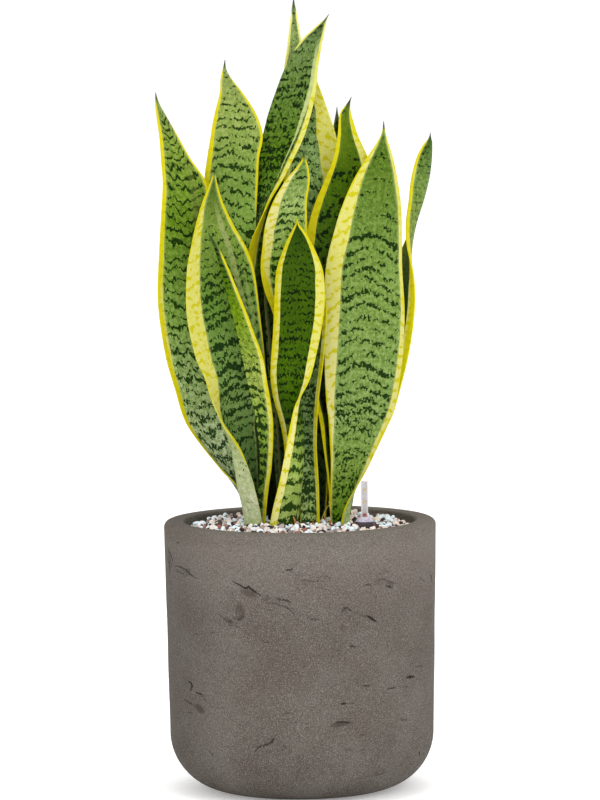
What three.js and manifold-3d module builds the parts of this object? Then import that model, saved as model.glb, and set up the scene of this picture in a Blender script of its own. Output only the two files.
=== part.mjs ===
// Potted laurentii snake plant, with its fibre clay pot, mineral grains and water gauge.
// Millimetres, +Z up. The origin is the middle of the pot's foot on the ground. The front faces -Y.

import * as THREE from 'three';
import { mergeVertices } from 'three/addons/utils/BufferGeometryUtils.js';
import Module from 'manifold-3d';

const wasm = await Module();
wasm.setup();

// Driving dimensions of the pot
const potRadius = 125;
const potHeight = 248;
const potTaper = 3.4;
const footRounding = 53;
const rimRounding = 5;
const lipRounding = 2.5;
const wall = 19;
const floorThickness = 18;
const cavityRounding = 26;
const potSegments = 44;
const footSteps = 7;
const rimSteps = 3;
const lipSteps = 2;
const cavitySteps = 4;
const mouthRadius = potRadius - wall;
const footRadius = potRadius - potTaper - footRounding;

// Clearance between pieces that touch on the real plant
const gap = 0.3;

// Mineral grains
const grainLevel = 243.8;
const grainEdgeLevel = 236;
const grainDiscRadius = 94;
const grainSpacing = 15.6;
const grainSides = 4;
const grainFoot = 7.6;
const grainTop = 4.4;
const grainHeight = 7;
const grainSink = 0.4;
const grainEdgeDrop = 2;
const grainStray = 0.15;
const grainTilt = 0.5;
const grainLength = [0.85, 1.15];
const grainBreadth = [0.75, 1.05];
const grainDepth = [0.6, 0.9];
const grainSeed = 31;
const fillSegments = 32;

// Leaves
const leafEdge = 1.2;
const leafMiddle = 1.5;
const leafSwell = 0.1;
const rowHeight = 24;
const leafColumns = [-1, -0.5, 0, 0.5, 1];
const foldSteps = 24;
const rootLevel = 214;
const slotTop = 262;

// Rhizome
const knobRadius = 13;
const knobFoot = 9;
const knobDepth = 16;
const stemRadius = 6.5;
const stemSides = 6;
const stemLevel = rootLevel - gap - knobDepth / 2;

// Water gauge
const gaugeX = 59;
const gaugeY = -40;
const gaugeTop = 287;
const tubeRadius = 3.1;
const tubeBore = 2.1;
const tubeCap = 1;
const softening = 0.5;
const domeLevel = 250;
const domeRim = 1.2;
const domeShoulder = [6.6, 3];
const domeHeight = 4;
const domeNeck = 0.7;
const flangeRadius = 8.8;
const flangeLevel = 244.5;
const sleeveRadius = 7;
const sleeveBore = 5.7;
const sleeveSeat = floorThickness + gap;
const sleeveFloor = 3;
const drainRadius = 3;
const floatRadius = 5.1;
const floatHeight = 60;
const rodRadius = 1.1;
const pointerRadius = 1.6;
const pointerLevel = 254.2;
const pointerHeight = 3;
const gaugeClearTop = 10;
const gaugeSegments = 10;

// Leaf stations from the ground up: height, x, y, half width, fold and facing.
// The fold is the angle that the blade turns through from edge to edge. Facing is the
// way that its inner face looks: 0 to the front, positive to the right. Millimetres, degrees.
const leafStations = {
  leaf_left_outer: [
    [240, -44.5, 10, 13.5, 150, 60],
    [260, -49, 9, 14, 140, 58],
    [280, -57.5, 8, 15, 130, 50],
    [300, -71, 7, 17, 110, 40],
    [320, -80, 6, 20, 80, 30],
    [340, -87, 6, 23, 60, 22],
    [370, -92, 6, 25, 45, 16],
    [400, -98, 6, 26, 38, 12],
    [450, -103, 6, 27, 35, 10],
    [500, -101.5, 6, 26.5, 35, 10],
    [540, -102, 5, 23, 35, 10],
    [560, -103.5, 5, 20.3, 35, 10],
    [580, -110.5, 4, 14.2, 35, 10],
    [600, -116.5, 4, 9.2, 40, 10],
    [620, -123.2, 4, 4.6, 40, 10],
    [631, -126.5, 4, 2, 10, 10],
    [641, -128, 4, 0.8, 0, 10],
  ],
  leaf_left_back: [
    [240, -36, 38, 12, 120, 30],
    [290, -42, 36, 12.5, 100, 25],
    [340, -48, 30, 14, 70, 15],
    [400, -56.5, 26, 18, 45, 8],
    [440, -59.5, 24, 21.5, 38, 5],
    [480, -61.5, 24, 24, 35, 3],
    [520, -62, 24, 25, 35, 0],
    [560, -60, 24, 25.3, 35, 0],
    [580, -58, 24, 24.5, 35, 0],
    [600, -54.5, 24, 24.5, 32, 0],
    [620, -55.5, 24, 19.5, 30, 0],
    [640, -59.2, 24, 10.5, 30, 0],
    [652, -63.5, 24, 5.4, 30, 0],
    [660, -65, 24, 2, 10, 0],
    [670, -64.5, 24, 0.8, 0, 0],
  ],
  leaf_left_front: [
    [240, -48.5, -16, 20, 190, 88],
    [260, -51, -16, 20, 190, 85],
    [280, -55, -15, 21, 185, 80],
    [300, -57.5, -14, 22, 170, 68],
    [320, -60, -13, 23, 150, 55],
    [340, -64, -12, 25, 120, 40],
    [360, -62, -12, 27, 80, 25],
    [380, -60, -12, 30, 55, 15],
    [400, -63.5, -12, 33, 42, 10],
    [440, -69, -12, 34.5, 36, 8],
    [480, -71, -12, 31.5, 35, 8],
    [500, -72.5, -12, 26, 35, 8],
    [520, -75.5, -12, 18, 35, 8],
    [540, -77, -12, 10.2, 35, 8],
    [556, -76, -12, 4.2, 30, 8],
    [565, -75, -12, 1.6, 10, 8],
    [573, -74, -12, 0.8, 0, 8],
  ],
  leaf_front_small: [
    [240, -37, -16, 5, 90, 0],
    [280, -33, -18, 5.5, 80, -5],
    [300, -30.5, -20, 6, 70, -5],
    [340, -31, -24, 8.2, 55, -5],
    [380, -38, -27, 9.6, 50, 0],
    [400, -41.5, -28, 9.7, 45, 0],
    [420, -47, -28, 8.2, 45, 0],
    [440, -53, -28, 7, 45, 0],
    [460, -59.5, -27, 5.6, 45, 0],
    [480, -66, -26, 4.1, 45, 0],
    [500, -73.5, -25, 2.2, 30, 0],
    [514, -81, -24, 0.8, 0, 0],
  ],
  leaf_back_top: [
    [240, -8, 30, 12, 120, 0],
    [320, -9, 38, 14, 100, 0],
    [400, -10, 46, 18, 60, 0],
    [480, -11, 50, 23, 45, 0],
    [540, -9, 50, 22.5, 42, 0],
    [580, -2, 50, 18, 45, 0],
    [620, 1, 50, 14, 55, -5],
    [660, 0, 50, 11, 70, -10],
    [680, 0.5, 50, 8.5, 90, -15],
    [700, 0, 50, 5.5, 100, -20],
    [712, -0.5, 50, 3, 80, -20],
    [718, -1, 50, 1.6, 20, -20],
    [727, -1, 50, 0.8, 0, -20],
  ],
  leaf_centre_top: [
    [240, -20, 12, 13, 120, -95],
    [290, -24, 13, 14, 115, -98],
    [340, -27.5, 15, 16, 105, -102],
    [400, -31, 18, 18, 100, -105],
    [460, -33.5, 20, 20, 95, -104],
    [480, -34, 20, 20.5, 95, -98],
    [500, -34, 20.5, 20.7, 95, -88],
    [520, -32.6, 21, 21, 85, -70],
    [540, -30.5, 22, 21, 72, -52],
    [560, -24, 23, 21, 60, -38],
    [580, -17.5, 24, 21, 48, -27],
    [600, -10.5, 25, 20.5, 38, -15],
    [620, -5, 25, 20.5, 35, -10],
    [640, 0.5, 25, 19, 35, -8],
    [660, 5.5, 25, 16, 35, -8],
    [680, 12.5, 25, 12, 35, -8],
    [690, 17.5, 25, 9, 30, -8],
    [700, 24, 25, 4.2, 20, -8],
    [705, 27.5, 25, 1.8, 10, -8],
    [711, 31.5, 25, 0.8, 0, -8],
  ],
  leaf_centre_back: [
    [240, 14, 18, 12, 120, 5],
    [280, 14, 22, 14, 100, 5],
    [320, 14, 26, 18, 80, 0],
    [380, 14, 32, 24, 50, 0],
    [440, 15, 36, 28, 40, 0],
    [500, 15, 37, 29, 36, 0],
    [540, 15, 37, 29, 34, 0],
    [580, 15.5, 37, 25.5, 34, 0],
    [600, 15.5, 37, 21.5, 32, 0],
    [620, 15, 37, 15.5, 30, 0],
    [640, 14, 37, 9.5, 30, 0],
    [655, 13, 37, 4.5, 20, 0],
    [664, 12, 37, 1.6, 10, 0],
    [672, 11, 37, 0.8, 0, 0],
  ],
  leaf_centre_mid: [
    [240, 4, 5, 10, 120, 0],
    [320, 1, 1, 11, 90, 0],
    [380, -2, -2, 13, 60, 3],
    [420, -5, -4, 15, 45, 5],
    [440, -7, -4, 17, 38, 5],
    [460, -11.5, -4, 19.8, 35, 5],
    [480, -13.5, -4, 21, 35, 5],
    [500, -11.5, -4, 21, 32, 5],
    [520, -10, -4, 19.5, 30, 5],
    [540, -6.5, -4, 16, 30, 5],
    [560, 1, -4, 11.4, 30, 5],
    [572, 5.5, -4, 5.5, 25, 5],
    [579, 7, -4, 2, 10, 5],
    [587, 6, -4, 0.8, 0, 5],
  ],
  leaf_front_centre: [
    [240, -6, -21, 25, 155, -128],
    [260, -3, -21, 24.5, 155, -118],
    [280, 0, -22, 24, 158, -105],
    [300, 2, -23, 23.5, 155, -95],
    [320, 3, -24, 23.5, 148, -85],
    [340, 1, -25, 23, 130, -72],
    [360, -3, -26, 22.5, 100, -55],
    [380, -4.4, -26, 22, 60, -30],
    [400, -3.5, -26, 21.5, 42, -12],
    [420, -1, -26, 22.3, 35, -4],
    [440, 1, -26, 23.3, 32, 0],
    [460, 2, -26, 23.3, 30, 0],
    [480, 2, -26, 21.3, 30, 0],
    [500, 1.5, -26, 13.8, 30, 0],
    [512, 1, -26, 7.5, 25, 0],
    [520, 0.3, -26, 2.6, 10, 0],
    [526, 0, -26, 0.8, 0, 0],
  ],
  leaf_front_right: [
    [240, 9, -11, 10.6, 90, 0],
    [280, 9.5, -9.5, 9.2, 80, 0],
    [320, 8.8, -8.5, 8.2, 70, -5],
    [360, 10.5, -11, 9.4, 55, -15],
    [400, 14, -14.5, 11.6, 45, -20],
    [440, 16, -16, 12.6, 40, -20],
    [460, 15, -16, 11.6, 40, -20],
    [480, 13, -16, 8.5, 35, -15],
    [497, 12, -16, 2.5, 20, -10],
    [506, 12, -16, 0.8, 0, -10],
  ],
  leaf_right_front: [
    [240, 42.5, -10, 16, 170, -60],
    [260, 43.5, -10, 17, 150, -52],
    [280, 46, -9, 18.5, 110, -35],
    [300, 48.5, -8, 20, 62, -18],
    [320, 52, -7, 24.2, 42, -10],
    [340, 56, -6, 29.2, 35, -8],
    [360, 58, -6, 33.3, 32, -8],
    [400, 60.5, -6, 36.8, 30, -8],
    [440, 62, -6, 37.3, 30, -8],
    [480, 61.5, -6, 35.8, 30, -8],
    [520, 66.5, -6, 30.7, 30, -8],
    [540, 69.5, -6, 26.7, 30, -8],
    [560, 72.5, -6, 20.6, 30, -8],
    [580, 76.5, -6, 12.3, 30, -8],
    [594, 79, -6, 5.2, 25, -8],
    [603, 80, -6, 1.8, 10, -8],
    [613, 80, -6, 0.8, 0, -8],
  ],
  leaf_right_mid: [
    [240, 36.5, 9, 9.5, 125, -10],
    [260, 37, 9, 11, 110, -10],
    [280, 38.5, 9.5, 13.5, 90, -8],
    [320, 40, 10, 19.5, 62, -5],
    [340, 39.5, 10, 21.5, 52, -5],
    [380, 36, 10, 26.5, 40, -5],
    [420, 35, 10, 29.5, 35, -5],
    [460, 37, 10, 31.7, 35, -5],
    [500, 40, 10, 32.7, 35, -5],
    [520, 42.5, 10, 32, 35, -5],
    [540, 46, 10, 29, 35, -5],
    [560, 49, 10, 23, 35, -5],
    [580, 50, 10, 16, 32, -5],
    [600, 47.5, 10, 9.5, 30, -5],
    [620, 45.5, 10, 5.2, 25, -5],
    [627, 47.5, 10, 2.4, 10, -5],
    [635, 51, 10, 0.8, 0, -5],
  ],
  leaf_right_back: [
    [240, 23, 42, 11, 110, 10],
    [340, 32, 46, 14, 70, 5],
    [420, 41, 50, 17, 45, 0],
    [500, 46, 52, 18, 38, 0],
    [560, 45, 52, 14, 36, 0],
    [590, 41.5, 52, 8.5, 32, 0],
    [606, 38.7, 52, 4.4, 25, 0],
    [616, 38, 52, 1.8, 10, 0],
    [625, 38, 52, 0.8, 0, 0],
  ],
  leaf_right_outer: [
    [240, 41, 27, 12.5, 120, -50],
    [260, 43, 27, 13, 110, -48],
    [280, 48, 27, 14, 95, -46],
    [300, 57, 27, 15, 80, -44],
    [320, 67, 26, 16, 70, -42],
    [340, 76.5, 26, 17.5, 62, -40],
    [360, 81.5, 25, 19, 55, -40],
    [400, 89.2, 23, 21, 42, -40],
    [440, 96, 22, 21, 40, -45],
    [470, 99.5, 18, 20, 42, -56],
    [500, 104.5, 15, 19.5, 45, -88],
    [520, 108.5, 14, 19, 50, -102],
    [540, 114, 14, 18.5, 55, -112],
    [560, 117.6, 14, 17, 55, -122],
    [580, 120, 14, 12, 50, -128],
    [590, 121.5, 14, 7.5, 40, -128],
    [597, 122.7, 14, 2.4, 10, -128],
    [602, 123, 14, 0.8, 0, -128],
  ],
  leaf_rear_left: [
    [240, -22, 56, 12, 120, 160],
    [320, -32, 60, 17, 80, 165],
    [400, -42, 62, 22, 45, 170],
    [460, -46, 63, 24, 38, 172],
    [510, -48, 63, 22, 35, 175],
    [545, -52, 63, 14, 30, 175],
    [564, -55.5, 63, 4.5, 20, 175],
    [577, -57, 63, 0.8, 0, 175],
  ],
  leaf_rear_centre: [
    [240, 8, 60, 12, 120, 180],
    [320, 6, 66, 17, 80, 180],
    [400, 3, 71, 22, 45, 182],
    [480, 0, 74, 24, 38, 184],
    [560, -2, 75, 20, 35, 184],
    [600, -2, 75, 11, 30, 184],
    [618, -1, 75, 3.5, 20, 184],
    [628, 0, 75, 0.8, 0, 184],
  ],
  leaf_rear_right: [
    [240, 40, 58, 12, 120, 200],
    [320, 50, 64, 17, 80, 195],
    [400, 60, 70, 23, 45, 190],
    [460, 65, 73, 24, 38, 188],
    [510, 68, 74, 18, 35, 186],
    [540, 69, 74, 9, 30, 186],
    [554, 69, 74, 3, 20, 186],
    [563, 69, 74, 0.8, 0, 186],
  ],
};

// Leaves whose roots follow one another along one rhizome
const shoots = [
  ['leaf_left_front', 'leaf_left_outer', 'leaf_left_back', 'leaf_rear_left'],
  ['leaf_front_centre', 'leaf_centre_mid', 'leaf_centre_back', 'leaf_back_top', 'leaf_rear_centre'],
  ['leaf_right_front', 'leaf_right_mid', 'leaf_right_outer', 'leaf_rear_right'],
  ['leaf_left_outer', 'leaf_centre_top', 'leaf_centre_mid', 'leaf_right_mid'],
  ['leaf_front_small', 'leaf_left_front'],
  ['leaf_front_right', 'leaf_centre_mid'],
  ['leaf_right_back', 'leaf_centre_back'],
];

// Colours and finishes
const material = (color, roughness, metalness = 0) =>
  new THREE.MeshStandardMaterial({ color, roughness, metalness });
const clay = material(0x847c74, 0.95);
const mineral = material(0xcfc8bf, 0.9);
const leafGreen = material(0x5f7f38, 0.45);
const root = material(0xb48a4c, 0.8);
const clearPlastic = material(0xd6d4d2, 0.15);
const darkPlastic = material(0x4a4148, 0.4);
const whiteFoam = material(0xe6e2da, 0.7);
const redPlastic = material(0xbe3c14, 0.4);

// Repeatable random numbers from 0 to 1
function randomSource(seed) {
  let state = seed;
  return () => {
    state = (state + 0x6d2b79f5) | 0;
    let value = Math.imul(state ^ (state >>> 15), 1 | state);
    value = (value + Math.imul(value ^ (value >>> 7), 61 | value)) ^ value;
    return ((value ^ (value >>> 14)) >>> 0) / 4294967296;
  };
}

// Geometry to solid and back
function solidOf(geometry) {
  let merged = geometry.clone();
  merged.deleteAttribute('normal');
  merged.deleteAttribute('uv');
  merged = mergeVertices(merged, 1e-4);
  return new wasm.Manifold(new wasm.Mesh({
    numProp: 3,
    vertProperties: new Float32Array(merged.attributes.position.array),
    triVerts: new Uint32Array(merged.index.array),
  }));
}

function geometryOf(solid) {
  const mesh = solid.getMesh();
  const geometry = new THREE.BufferGeometry();
  geometry.setAttribute('position', new THREE.BufferAttribute(mesh.vertProperties, 3));
  geometry.setIndex(new THREE.BufferAttribute(mesh.triVerts, 1));
  geometry.computeVertexNormals();
  return geometry;
}

// A turned body standing on +Z from a list of [radius, height]
function turned(profile, segments, x = 0, y = 0) {
  const points = profile.map(([radius, height]) => new THREE.Vector2(radius, height));
  const geometry = new THREE.LatheGeometry(points, segments);
  geometry.rotateX(Math.PI / 2);
  geometry.translate(x, y, 0);
  return geometry;
}

// Points on an arc of a profile, angles in degrees
function arc(radius, height, size, from, to, steps) {
  return Array.from({ length: steps + 1 }, (_, index) => {
    const angle = THREE.MathUtils.degToRad(from + (to - from) * index / steps);
    return [radius + size * Math.cos(angle), height + size * Math.sin(angle)];
  });
}

// The inside of the pot, made smaller all round by an inset
function cavityArc(inset) {
  const centreRadius = mouthRadius - cavityRounding;
  const centreLevel = floorThickness + cavityRounding;
  return arc(centreRadius, centreLevel, cavityRounding - inset, -90, 0, cavitySteps);
}

function potGeometry() {
  return turned([
    [0, 0],
    ...arc(footRadius, footRounding, footRounding, -90, 0, footSteps),
    ...arc(potRadius - rimRounding, potHeight - rimRounding, rimRounding, 0, 90, rimSteps),
    ...arc(mouthRadius + lipRounding, potHeight - lipRounding, lipRounding, 90, 180, lipSteps),
    ...cavityArc(0).reverse(),
    [0, floorThickness],
  ], potSegments);
}

// The smooth value at a height between stations, for one column of them
function stationValue(stations, column, height) {
  const last = stations.length - 1;
  const slope = (index) => {
    const before = stations[Math.max(index - 1, 0)];
    const after = stations[Math.min(index + 1, last)];
    return (after[column] - before[column]) / (after[0] - before[0]);
  };
  let index = 0;
  while (index < last - 1 && height > stations[index + 1][0]) {
    index += 1;
  }
  const span = stations[index + 1][0] - stations[index][0];
  const t = THREE.MathUtils.clamp((height - stations[index][0]) / span, 0, 1);
  const start = stations[index][column];
  const end = stations[index + 1][column];
  const rise = t * t * (3 - 2 * t);
  return start + (end - start) * rise
    + span * slope(index) * t * (1 - t) * (1 - t)
    - span * slope(index + 1) * t * t * (1 - t);
}

// A point on the blade's middle surface and its inward direction, across in half widths.
// The fold gathers towards the midrib, so that the flanks stay flat.
function bladePoint(station, across) {
  const [, x, y, halfWidth, fold, facing] = station;
  const half = THREE.MathUtils.degToRad(fold) / 2;
  const turn = THREE.MathUtils.degToRad(facing);
  let along = 0;
  let inward = 0;
  const step = across / foldSteps;
  for (let index = 0; index < foldSteps; index += 1) {
    const bend = half * Math.sin((index + 0.5) * step * Math.PI / 2);
    along += Math.cos(bend) * step * halfWidth;
    inward += Math.sin(bend) * step * halfWidth;
  }
  const bend = half * Math.sin(across * Math.PI / 2);
  const place = (u, n) => [
    u * Math.cos(turn) + n * Math.sin(turn),
    u * Math.sin(turn) - n * Math.cos(turn),
  ];
  const [dx, dy] = place(along, inward);
  return { at: [x + dx, y + dy], normal: place(-Math.sin(bend), Math.cos(bend)) };
}

// One closed blade. The clearance makes it larger all round, and it ends at the top height.
function leafGeometry(stations, clearance = 0, top = Infinity) {
  const columns = [1, 2, 3, 4, 5];
  const rows = [[rootLevel - clearance, ...stations[0].slice(1)]];
  for (let index = 0; index < stations.length - 1; index += 1) {
    const from = stations[index][0];
    const to = stations[index + 1][0];
    const steps = Math.ceil((to - from) / rowHeight);
    for (let step = 0; step < steps; step += 1) {
      const height = from + (to - from) * step / steps;
      rows.push([height, ...columns.map((column) => stationValue(stations, column, height))]);
    }
  }
  rows.push(stations[stations.length - 1]);
  const kept = rows.filter((row) => row[0] <= top);
  const positions = [];
  for (const row of kept) {
    const halfWidth = row[3] + clearance;
    const station = [row[0], row[1], row[2], halfWidth, row[4], row[5]];
    const middle = leafMiddle + leafSwell * row[3] - leafEdge;
    for (const side of [1, -1]) {
      for (const column of leafColumns) {
        const across = column * side;
        const { at, normal } = bladePoint(station, across);
        const offset = side * ((leafEdge + middle * (1 - across * across)) / 2 + clearance);
        positions.push(at[0] + normal[0] * offset, at[1] + normal[1] * offset, row[0]);
      }
    }
  }
  const count = leafColumns.length;
  const ring = 2 * count;
  const indices = [];
  for (let row = 0; row < kept.length - 1; row += 1) {
    for (let corner = 0; corner < ring; corner += 1) {
      const next = (corner + 1) % ring;
      const a = row * ring + corner;
      const b = row * ring + next;
      const c = a + ring;
      const d = b + ring;
      if (corner < count) {
        indices.push(a, b, d, a, d, c);
      } else {
        indices.push(a, b, c, b, d, c);
      }
    }
  }
  const topRing = (kept.length - 1) * ring;
  for (let column = 0; column < count - 1; column += 1) {
    const inner = column;
    const outer = ring - 1 - column;
    indices.push(inner, outer, outer - 1, inner, outer - 1, inner + 1);
    indices.push(topRing + inner, topRing + outer - 1, topRing + outer);
    indices.push(topRing + inner, topRing + inner + 1, topRing + outer - 1);
  }
  const geometry = new THREE.BufferGeometry();
  geometry.setAttribute('position', new THREE.Float32BufferAttribute(positions, 3));
  geometry.setIndex(indices);
  geometry.computeVertexNormals();
  return geometry;
}

// The middle of a leaf's root, between its midrib and its edges
function rootPlace(name) {
  const station = leafStations[name][0];
  const [left, middle, right] = [-1, 0, 1].map((across) => bladePoint(station, across).at);
  return [0, 1].map((axis) => (left[axis] + 2 * middle[axis] + right[axis]) / 4);
}

// The rhizome: a knob under each leaf, and a stem from knob to knob
function rhizomeSolid(swell) {
  const depth = knobDepth + 2 * swell;
  const knobs = Object.keys(leafStations).map((name) => {
    const [x, y] = rootPlace(name);
    const knob = new THREE.CylinderGeometry(
      knobRadius + swell, knobFoot + swell, depth, stemSides,
    );
    knob.rotateX(Math.PI / 2);
    knob.translate(x, y, stemLevel);
    return solidOf(knob);
  });
  const stems = shoots.flatMap((shoot) => shoot.slice(1).map((name, index) => {
    const from = new THREE.Vector3(...rootPlace(shoot[index]), stemLevel);
    const to = new THREE.Vector3(...rootPlace(name), stemLevel);
    const stem = new THREE.CylinderGeometry(
      stemRadius + swell, stemRadius + swell, from.distanceTo(to), stemSides,
    );
    const along = to.clone().sub(from).normalize();
    const turn = new THREE.Quaternion().setFromUnitVectors(new THREE.Vector3(0, 1, 0), along);
    stem.applyQuaternion(turn);
    stem.translate(...from.add(to).multiplyScalar(0.5).toArray());
    return solidOf(stem);
  }));
  return [...knobs, ...stems].reduce((whole, piece) => whole.add(piece));
}

// Mineral fill: its body, and the grains that lie on it in rings, each turned its own way
function fillSolid() {
  const edge = mouthRadius - gap;
  const body = turned([
    [0, floorThickness + gap],
    ...cavityArc(gap),
    [edge, grainEdgeLevel],
    [grainDiscRadius, grainLevel],
    [0, grainLevel],
  ], fillSegments);
  const random = randomSource(grainSeed);
  const between = (low, high) => low + (high - low) * random();
  const ringCount = Math.floor((grainDiscRadius + grainSpacing / 2) / grainSpacing);
  let whole = solidOf(body);
  for (let ring = 0; ring <= ringCount; ring += 1) {
    const radius = ring * grainSpacing;
    const count = Math.max(1, Math.round(2 * Math.PI * radius / grainSpacing));
    for (let index = 0; index < count; index += 1) {
      const stray = between(-grainStray, grainStray);
      const angle = 2 * Math.PI * (index + (ring % 2) / 2 + stray) / count;
      const grain = new THREE.CylinderGeometry(grainTop, grainFoot, grainHeight, grainSides);
      grain.scale(between(...grainLength), between(...grainDepth), between(...grainBreadth));
      grain.rotateX(Math.PI / 2);
      grain.rotateX(between(-grainTilt / 2, grainTilt / 2));
      grain.rotateZ(between(0, Math.PI));
      const level = ring === ringCount ? grainLevel - grainEdgeDrop : grainLevel;
      grain.translate(radius * Math.cos(angle), radius * Math.sin(angle), level - grainSink);
      whole = whole.add(solidOf(grain));
    }
  }
  return whole;
}

// Water gauge, a sleeve in the fill with a flange, a clear tube, and a float with its pointer
function sleeveGeometry() {
  return turned([
    [drainRadius, sleeveSeat],
    [sleeveRadius, sleeveSeat],
    [sleeveRadius, flangeLevel],
    [flangeRadius, flangeLevel],
    [flangeRadius, domeLevel - gap],
    [sleeveBore, domeLevel - gap],
    [sleeveBore, sleeveSeat + sleeveFloor],
    [drainRadius, sleeveSeat + sleeveFloor],
    [drainRadius, sleeveSeat],
  ], gaugeSegments, gaugeX, gaugeY);
}

function tubeGeometry() {
  return turned([
    [tubeBore, domeLevel],
    [flangeRadius - gap, domeLevel],
    [flangeRadius - softening, domeLevel + domeRim],
    [domeShoulder[0], domeLevel + domeShoulder[1]],
    [tubeRadius + domeNeck, domeLevel + domeHeight],
    [tubeRadius, domeLevel + domeHeight + domeNeck],
    [tubeRadius, gaugeTop - softening],
    [tubeRadius - softening, gaugeTop],
    [0, gaugeTop],
    [0, gaugeTop - tubeCap],
    [tubeBore, gaugeTop - tubeCap],
    [tubeBore, domeLevel],
  ], gaugeSegments, gaugeX, gaugeY);
}

function floatGeometry() {
  const base = sleeveSeat + sleeveFloor + gap;
  return turned([
    [0, base],
    [floatRadius - softening, base],
    [floatRadius, base + softening],
    [floatRadius, base + floatHeight - softening],
    [floatRadius - softening, base + floatHeight],
    [rodRadius, base + floatHeight],
    [rodRadius, pointerLevel - gap],
    [0, pointerLevel - gap],
  ], gaugeSegments, gaugeX, gaugeY);
}

function pointerGeometry() {
  return turned([
    [0, pointerLevel],
    [pointerRadius, pointerLevel],
    [pointerRadius, pointerLevel + pointerHeight - softening],
    [pointerRadius - softening, pointerLevel + pointerHeight],
    [0, pointerLevel + pointerHeight],
  ], gaugeSegments, gaugeX, gaugeY);
}

const plant = new THREE.Group();
function place(name, geometry, finish) {
  const mesh = new THREE.Mesh(geometry, finish);
  mesh.name = name;
  plant.add(mesh);
}

// Every leaf stands in its own slot, which reaches through the fill down to the rhizome
const slots = Object.values(leafStations)
  .map((stations) => solidOf(leafGeometry(stations, gap, slotTop)))
  .reduce((whole, slot) => whole.add(slot));
const gaugeHole = solidOf(turned([
  [0, floorThickness],
  [sleeveRadius + gap, floorThickness],
  [sleeveRadius + gap, flangeLevel - gap],
  [flangeRadius + gap, flangeLevel - gap],
  [flangeRadius + gap, potHeight + gaugeClearTop],
  [0, potHeight + gaugeClearTop],
], gaugeSegments, gaugeX, gaugeY));

place('pot', potGeometry(), clay);
place('substrate', geometryOf(
  fillSolid().subtract(slots).subtract(rhizomeSolid(gap)).subtract(gaugeHole),
), mineral);
place('rhizome', geometryOf(rhizomeSolid(0)), root);
for (const [name, stations] of Object.entries(leafStations)) {
  place(name, leafGeometry(stations), leafGreen);
}
place('gauge_sleeve', sleeveGeometry(), darkPlastic);
place('gauge_tube', tubeGeometry(), clearPlastic);
place('gauge_float', floatGeometry(), whiteFoam);
place('gauge_pointer', pointerGeometry(), redPlastic);

export default plant;
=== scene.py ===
import math
import random

import bmesh
import bpy
import numpy as np
from mathutils import Matrix, Vector, noise


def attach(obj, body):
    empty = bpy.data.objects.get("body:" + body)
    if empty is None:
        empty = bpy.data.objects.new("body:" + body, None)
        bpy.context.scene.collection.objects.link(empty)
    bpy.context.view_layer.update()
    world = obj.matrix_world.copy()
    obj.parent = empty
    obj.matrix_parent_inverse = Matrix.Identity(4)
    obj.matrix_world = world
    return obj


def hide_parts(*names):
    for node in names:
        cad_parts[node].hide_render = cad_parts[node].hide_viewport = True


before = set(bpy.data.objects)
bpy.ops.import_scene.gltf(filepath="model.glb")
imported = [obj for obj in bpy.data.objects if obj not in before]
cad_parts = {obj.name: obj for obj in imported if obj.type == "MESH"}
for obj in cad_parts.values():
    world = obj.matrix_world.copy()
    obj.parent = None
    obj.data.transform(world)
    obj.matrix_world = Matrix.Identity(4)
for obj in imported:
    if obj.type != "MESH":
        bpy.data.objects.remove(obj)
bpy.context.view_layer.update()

MM = 0.001
BODY = "planter"
FLOAT_BODY = "float"

# Pot, millimetres
POT_RADIUS = 125
POT_HEIGHT = 248
POT_TAPER = 3.4
FOOT_ROUNDING = 53
RIM_ROUNDING = 5
LIP_ROUNDING = 2.5
WALL = 19
FLOOR = 18
CAVITY_ROUNDING = 26
MOUTH_RADIUS = POT_RADIUS - WALL
FOOT_RADIUS = POT_RADIUS - POT_TAPER - FOOT_ROUNDING
GIRTH = 2 * math.pi * POT_RADIUS

# Steps of the pot's mesh, from its underside to its cavity, and around its front and rear
UNDERSIDE_STEPS = 6
FOOT_STEPS = 44
SIDE_STEPS = 151
RIM_STEPS = 6
LIP_STEPS = 4
CAVITY_STEPS = 8
FRONT_STEPS = 320
REAR_STEPS = 80

# Relief of the clay, millimetres. Ripples are given as their size and depth. The pits' own roughness is a
# share of their depth.
RIPPLES = ((45, 0.35), (3, 0.1))
PIT_DEPTH = 0.9
PIT_LEAST = 0.02
PIT_ROUGHNESS = 0.7
PIT_GRAIN = 4
CRACK_REACH = 6
NO_CRACK = 99
HOLLOW_REACH = 1.5
SCUFF_REACH = 1.3
MARKED_RADIUS = POT_RADIUS - 1

# Marks of the pot's rear, which are drawn at random
REAR_HOLLOWS = 16
REAR_CRACKS = 3
REAR_LEVELS = (35, 205)
REAR_SCUFF = 0.4
PIT_SEED = 12

# Leaf blades, millimetres. The tip's and the edge's shares are of the blade's thickness.
LEAF_EDGE = 1.2
LEAF_MIDDLE = 1.5
LEAF_SWELL = 0.1
EDGE_SHARE = 0.6
TIP_LENGTH = 9
TIP_SHARE = 0.35
NEEDLE_LENGTH = 14
RIB_WIDTH = 5
RIB_LENGTH = 60
RIB_DEPTH = 0.16
RIB_FREE_EDGE = 3
ARCH_POWER = 1.3
ROOT_LEVEL = 214
ROW_HEIGHT = 3
TIP_ROWS = (1, 2, 4)
FOLD_STEPS = 24
BLADE_COLUMNS = 24

# How far apart the patterns of a blade's two faces, and of two leaves, are read from the same noise
FACE_APART = 3
LEAF_APART = 10

# Gap between parts that stand in others, millimetres
GAP = 0.3

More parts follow.
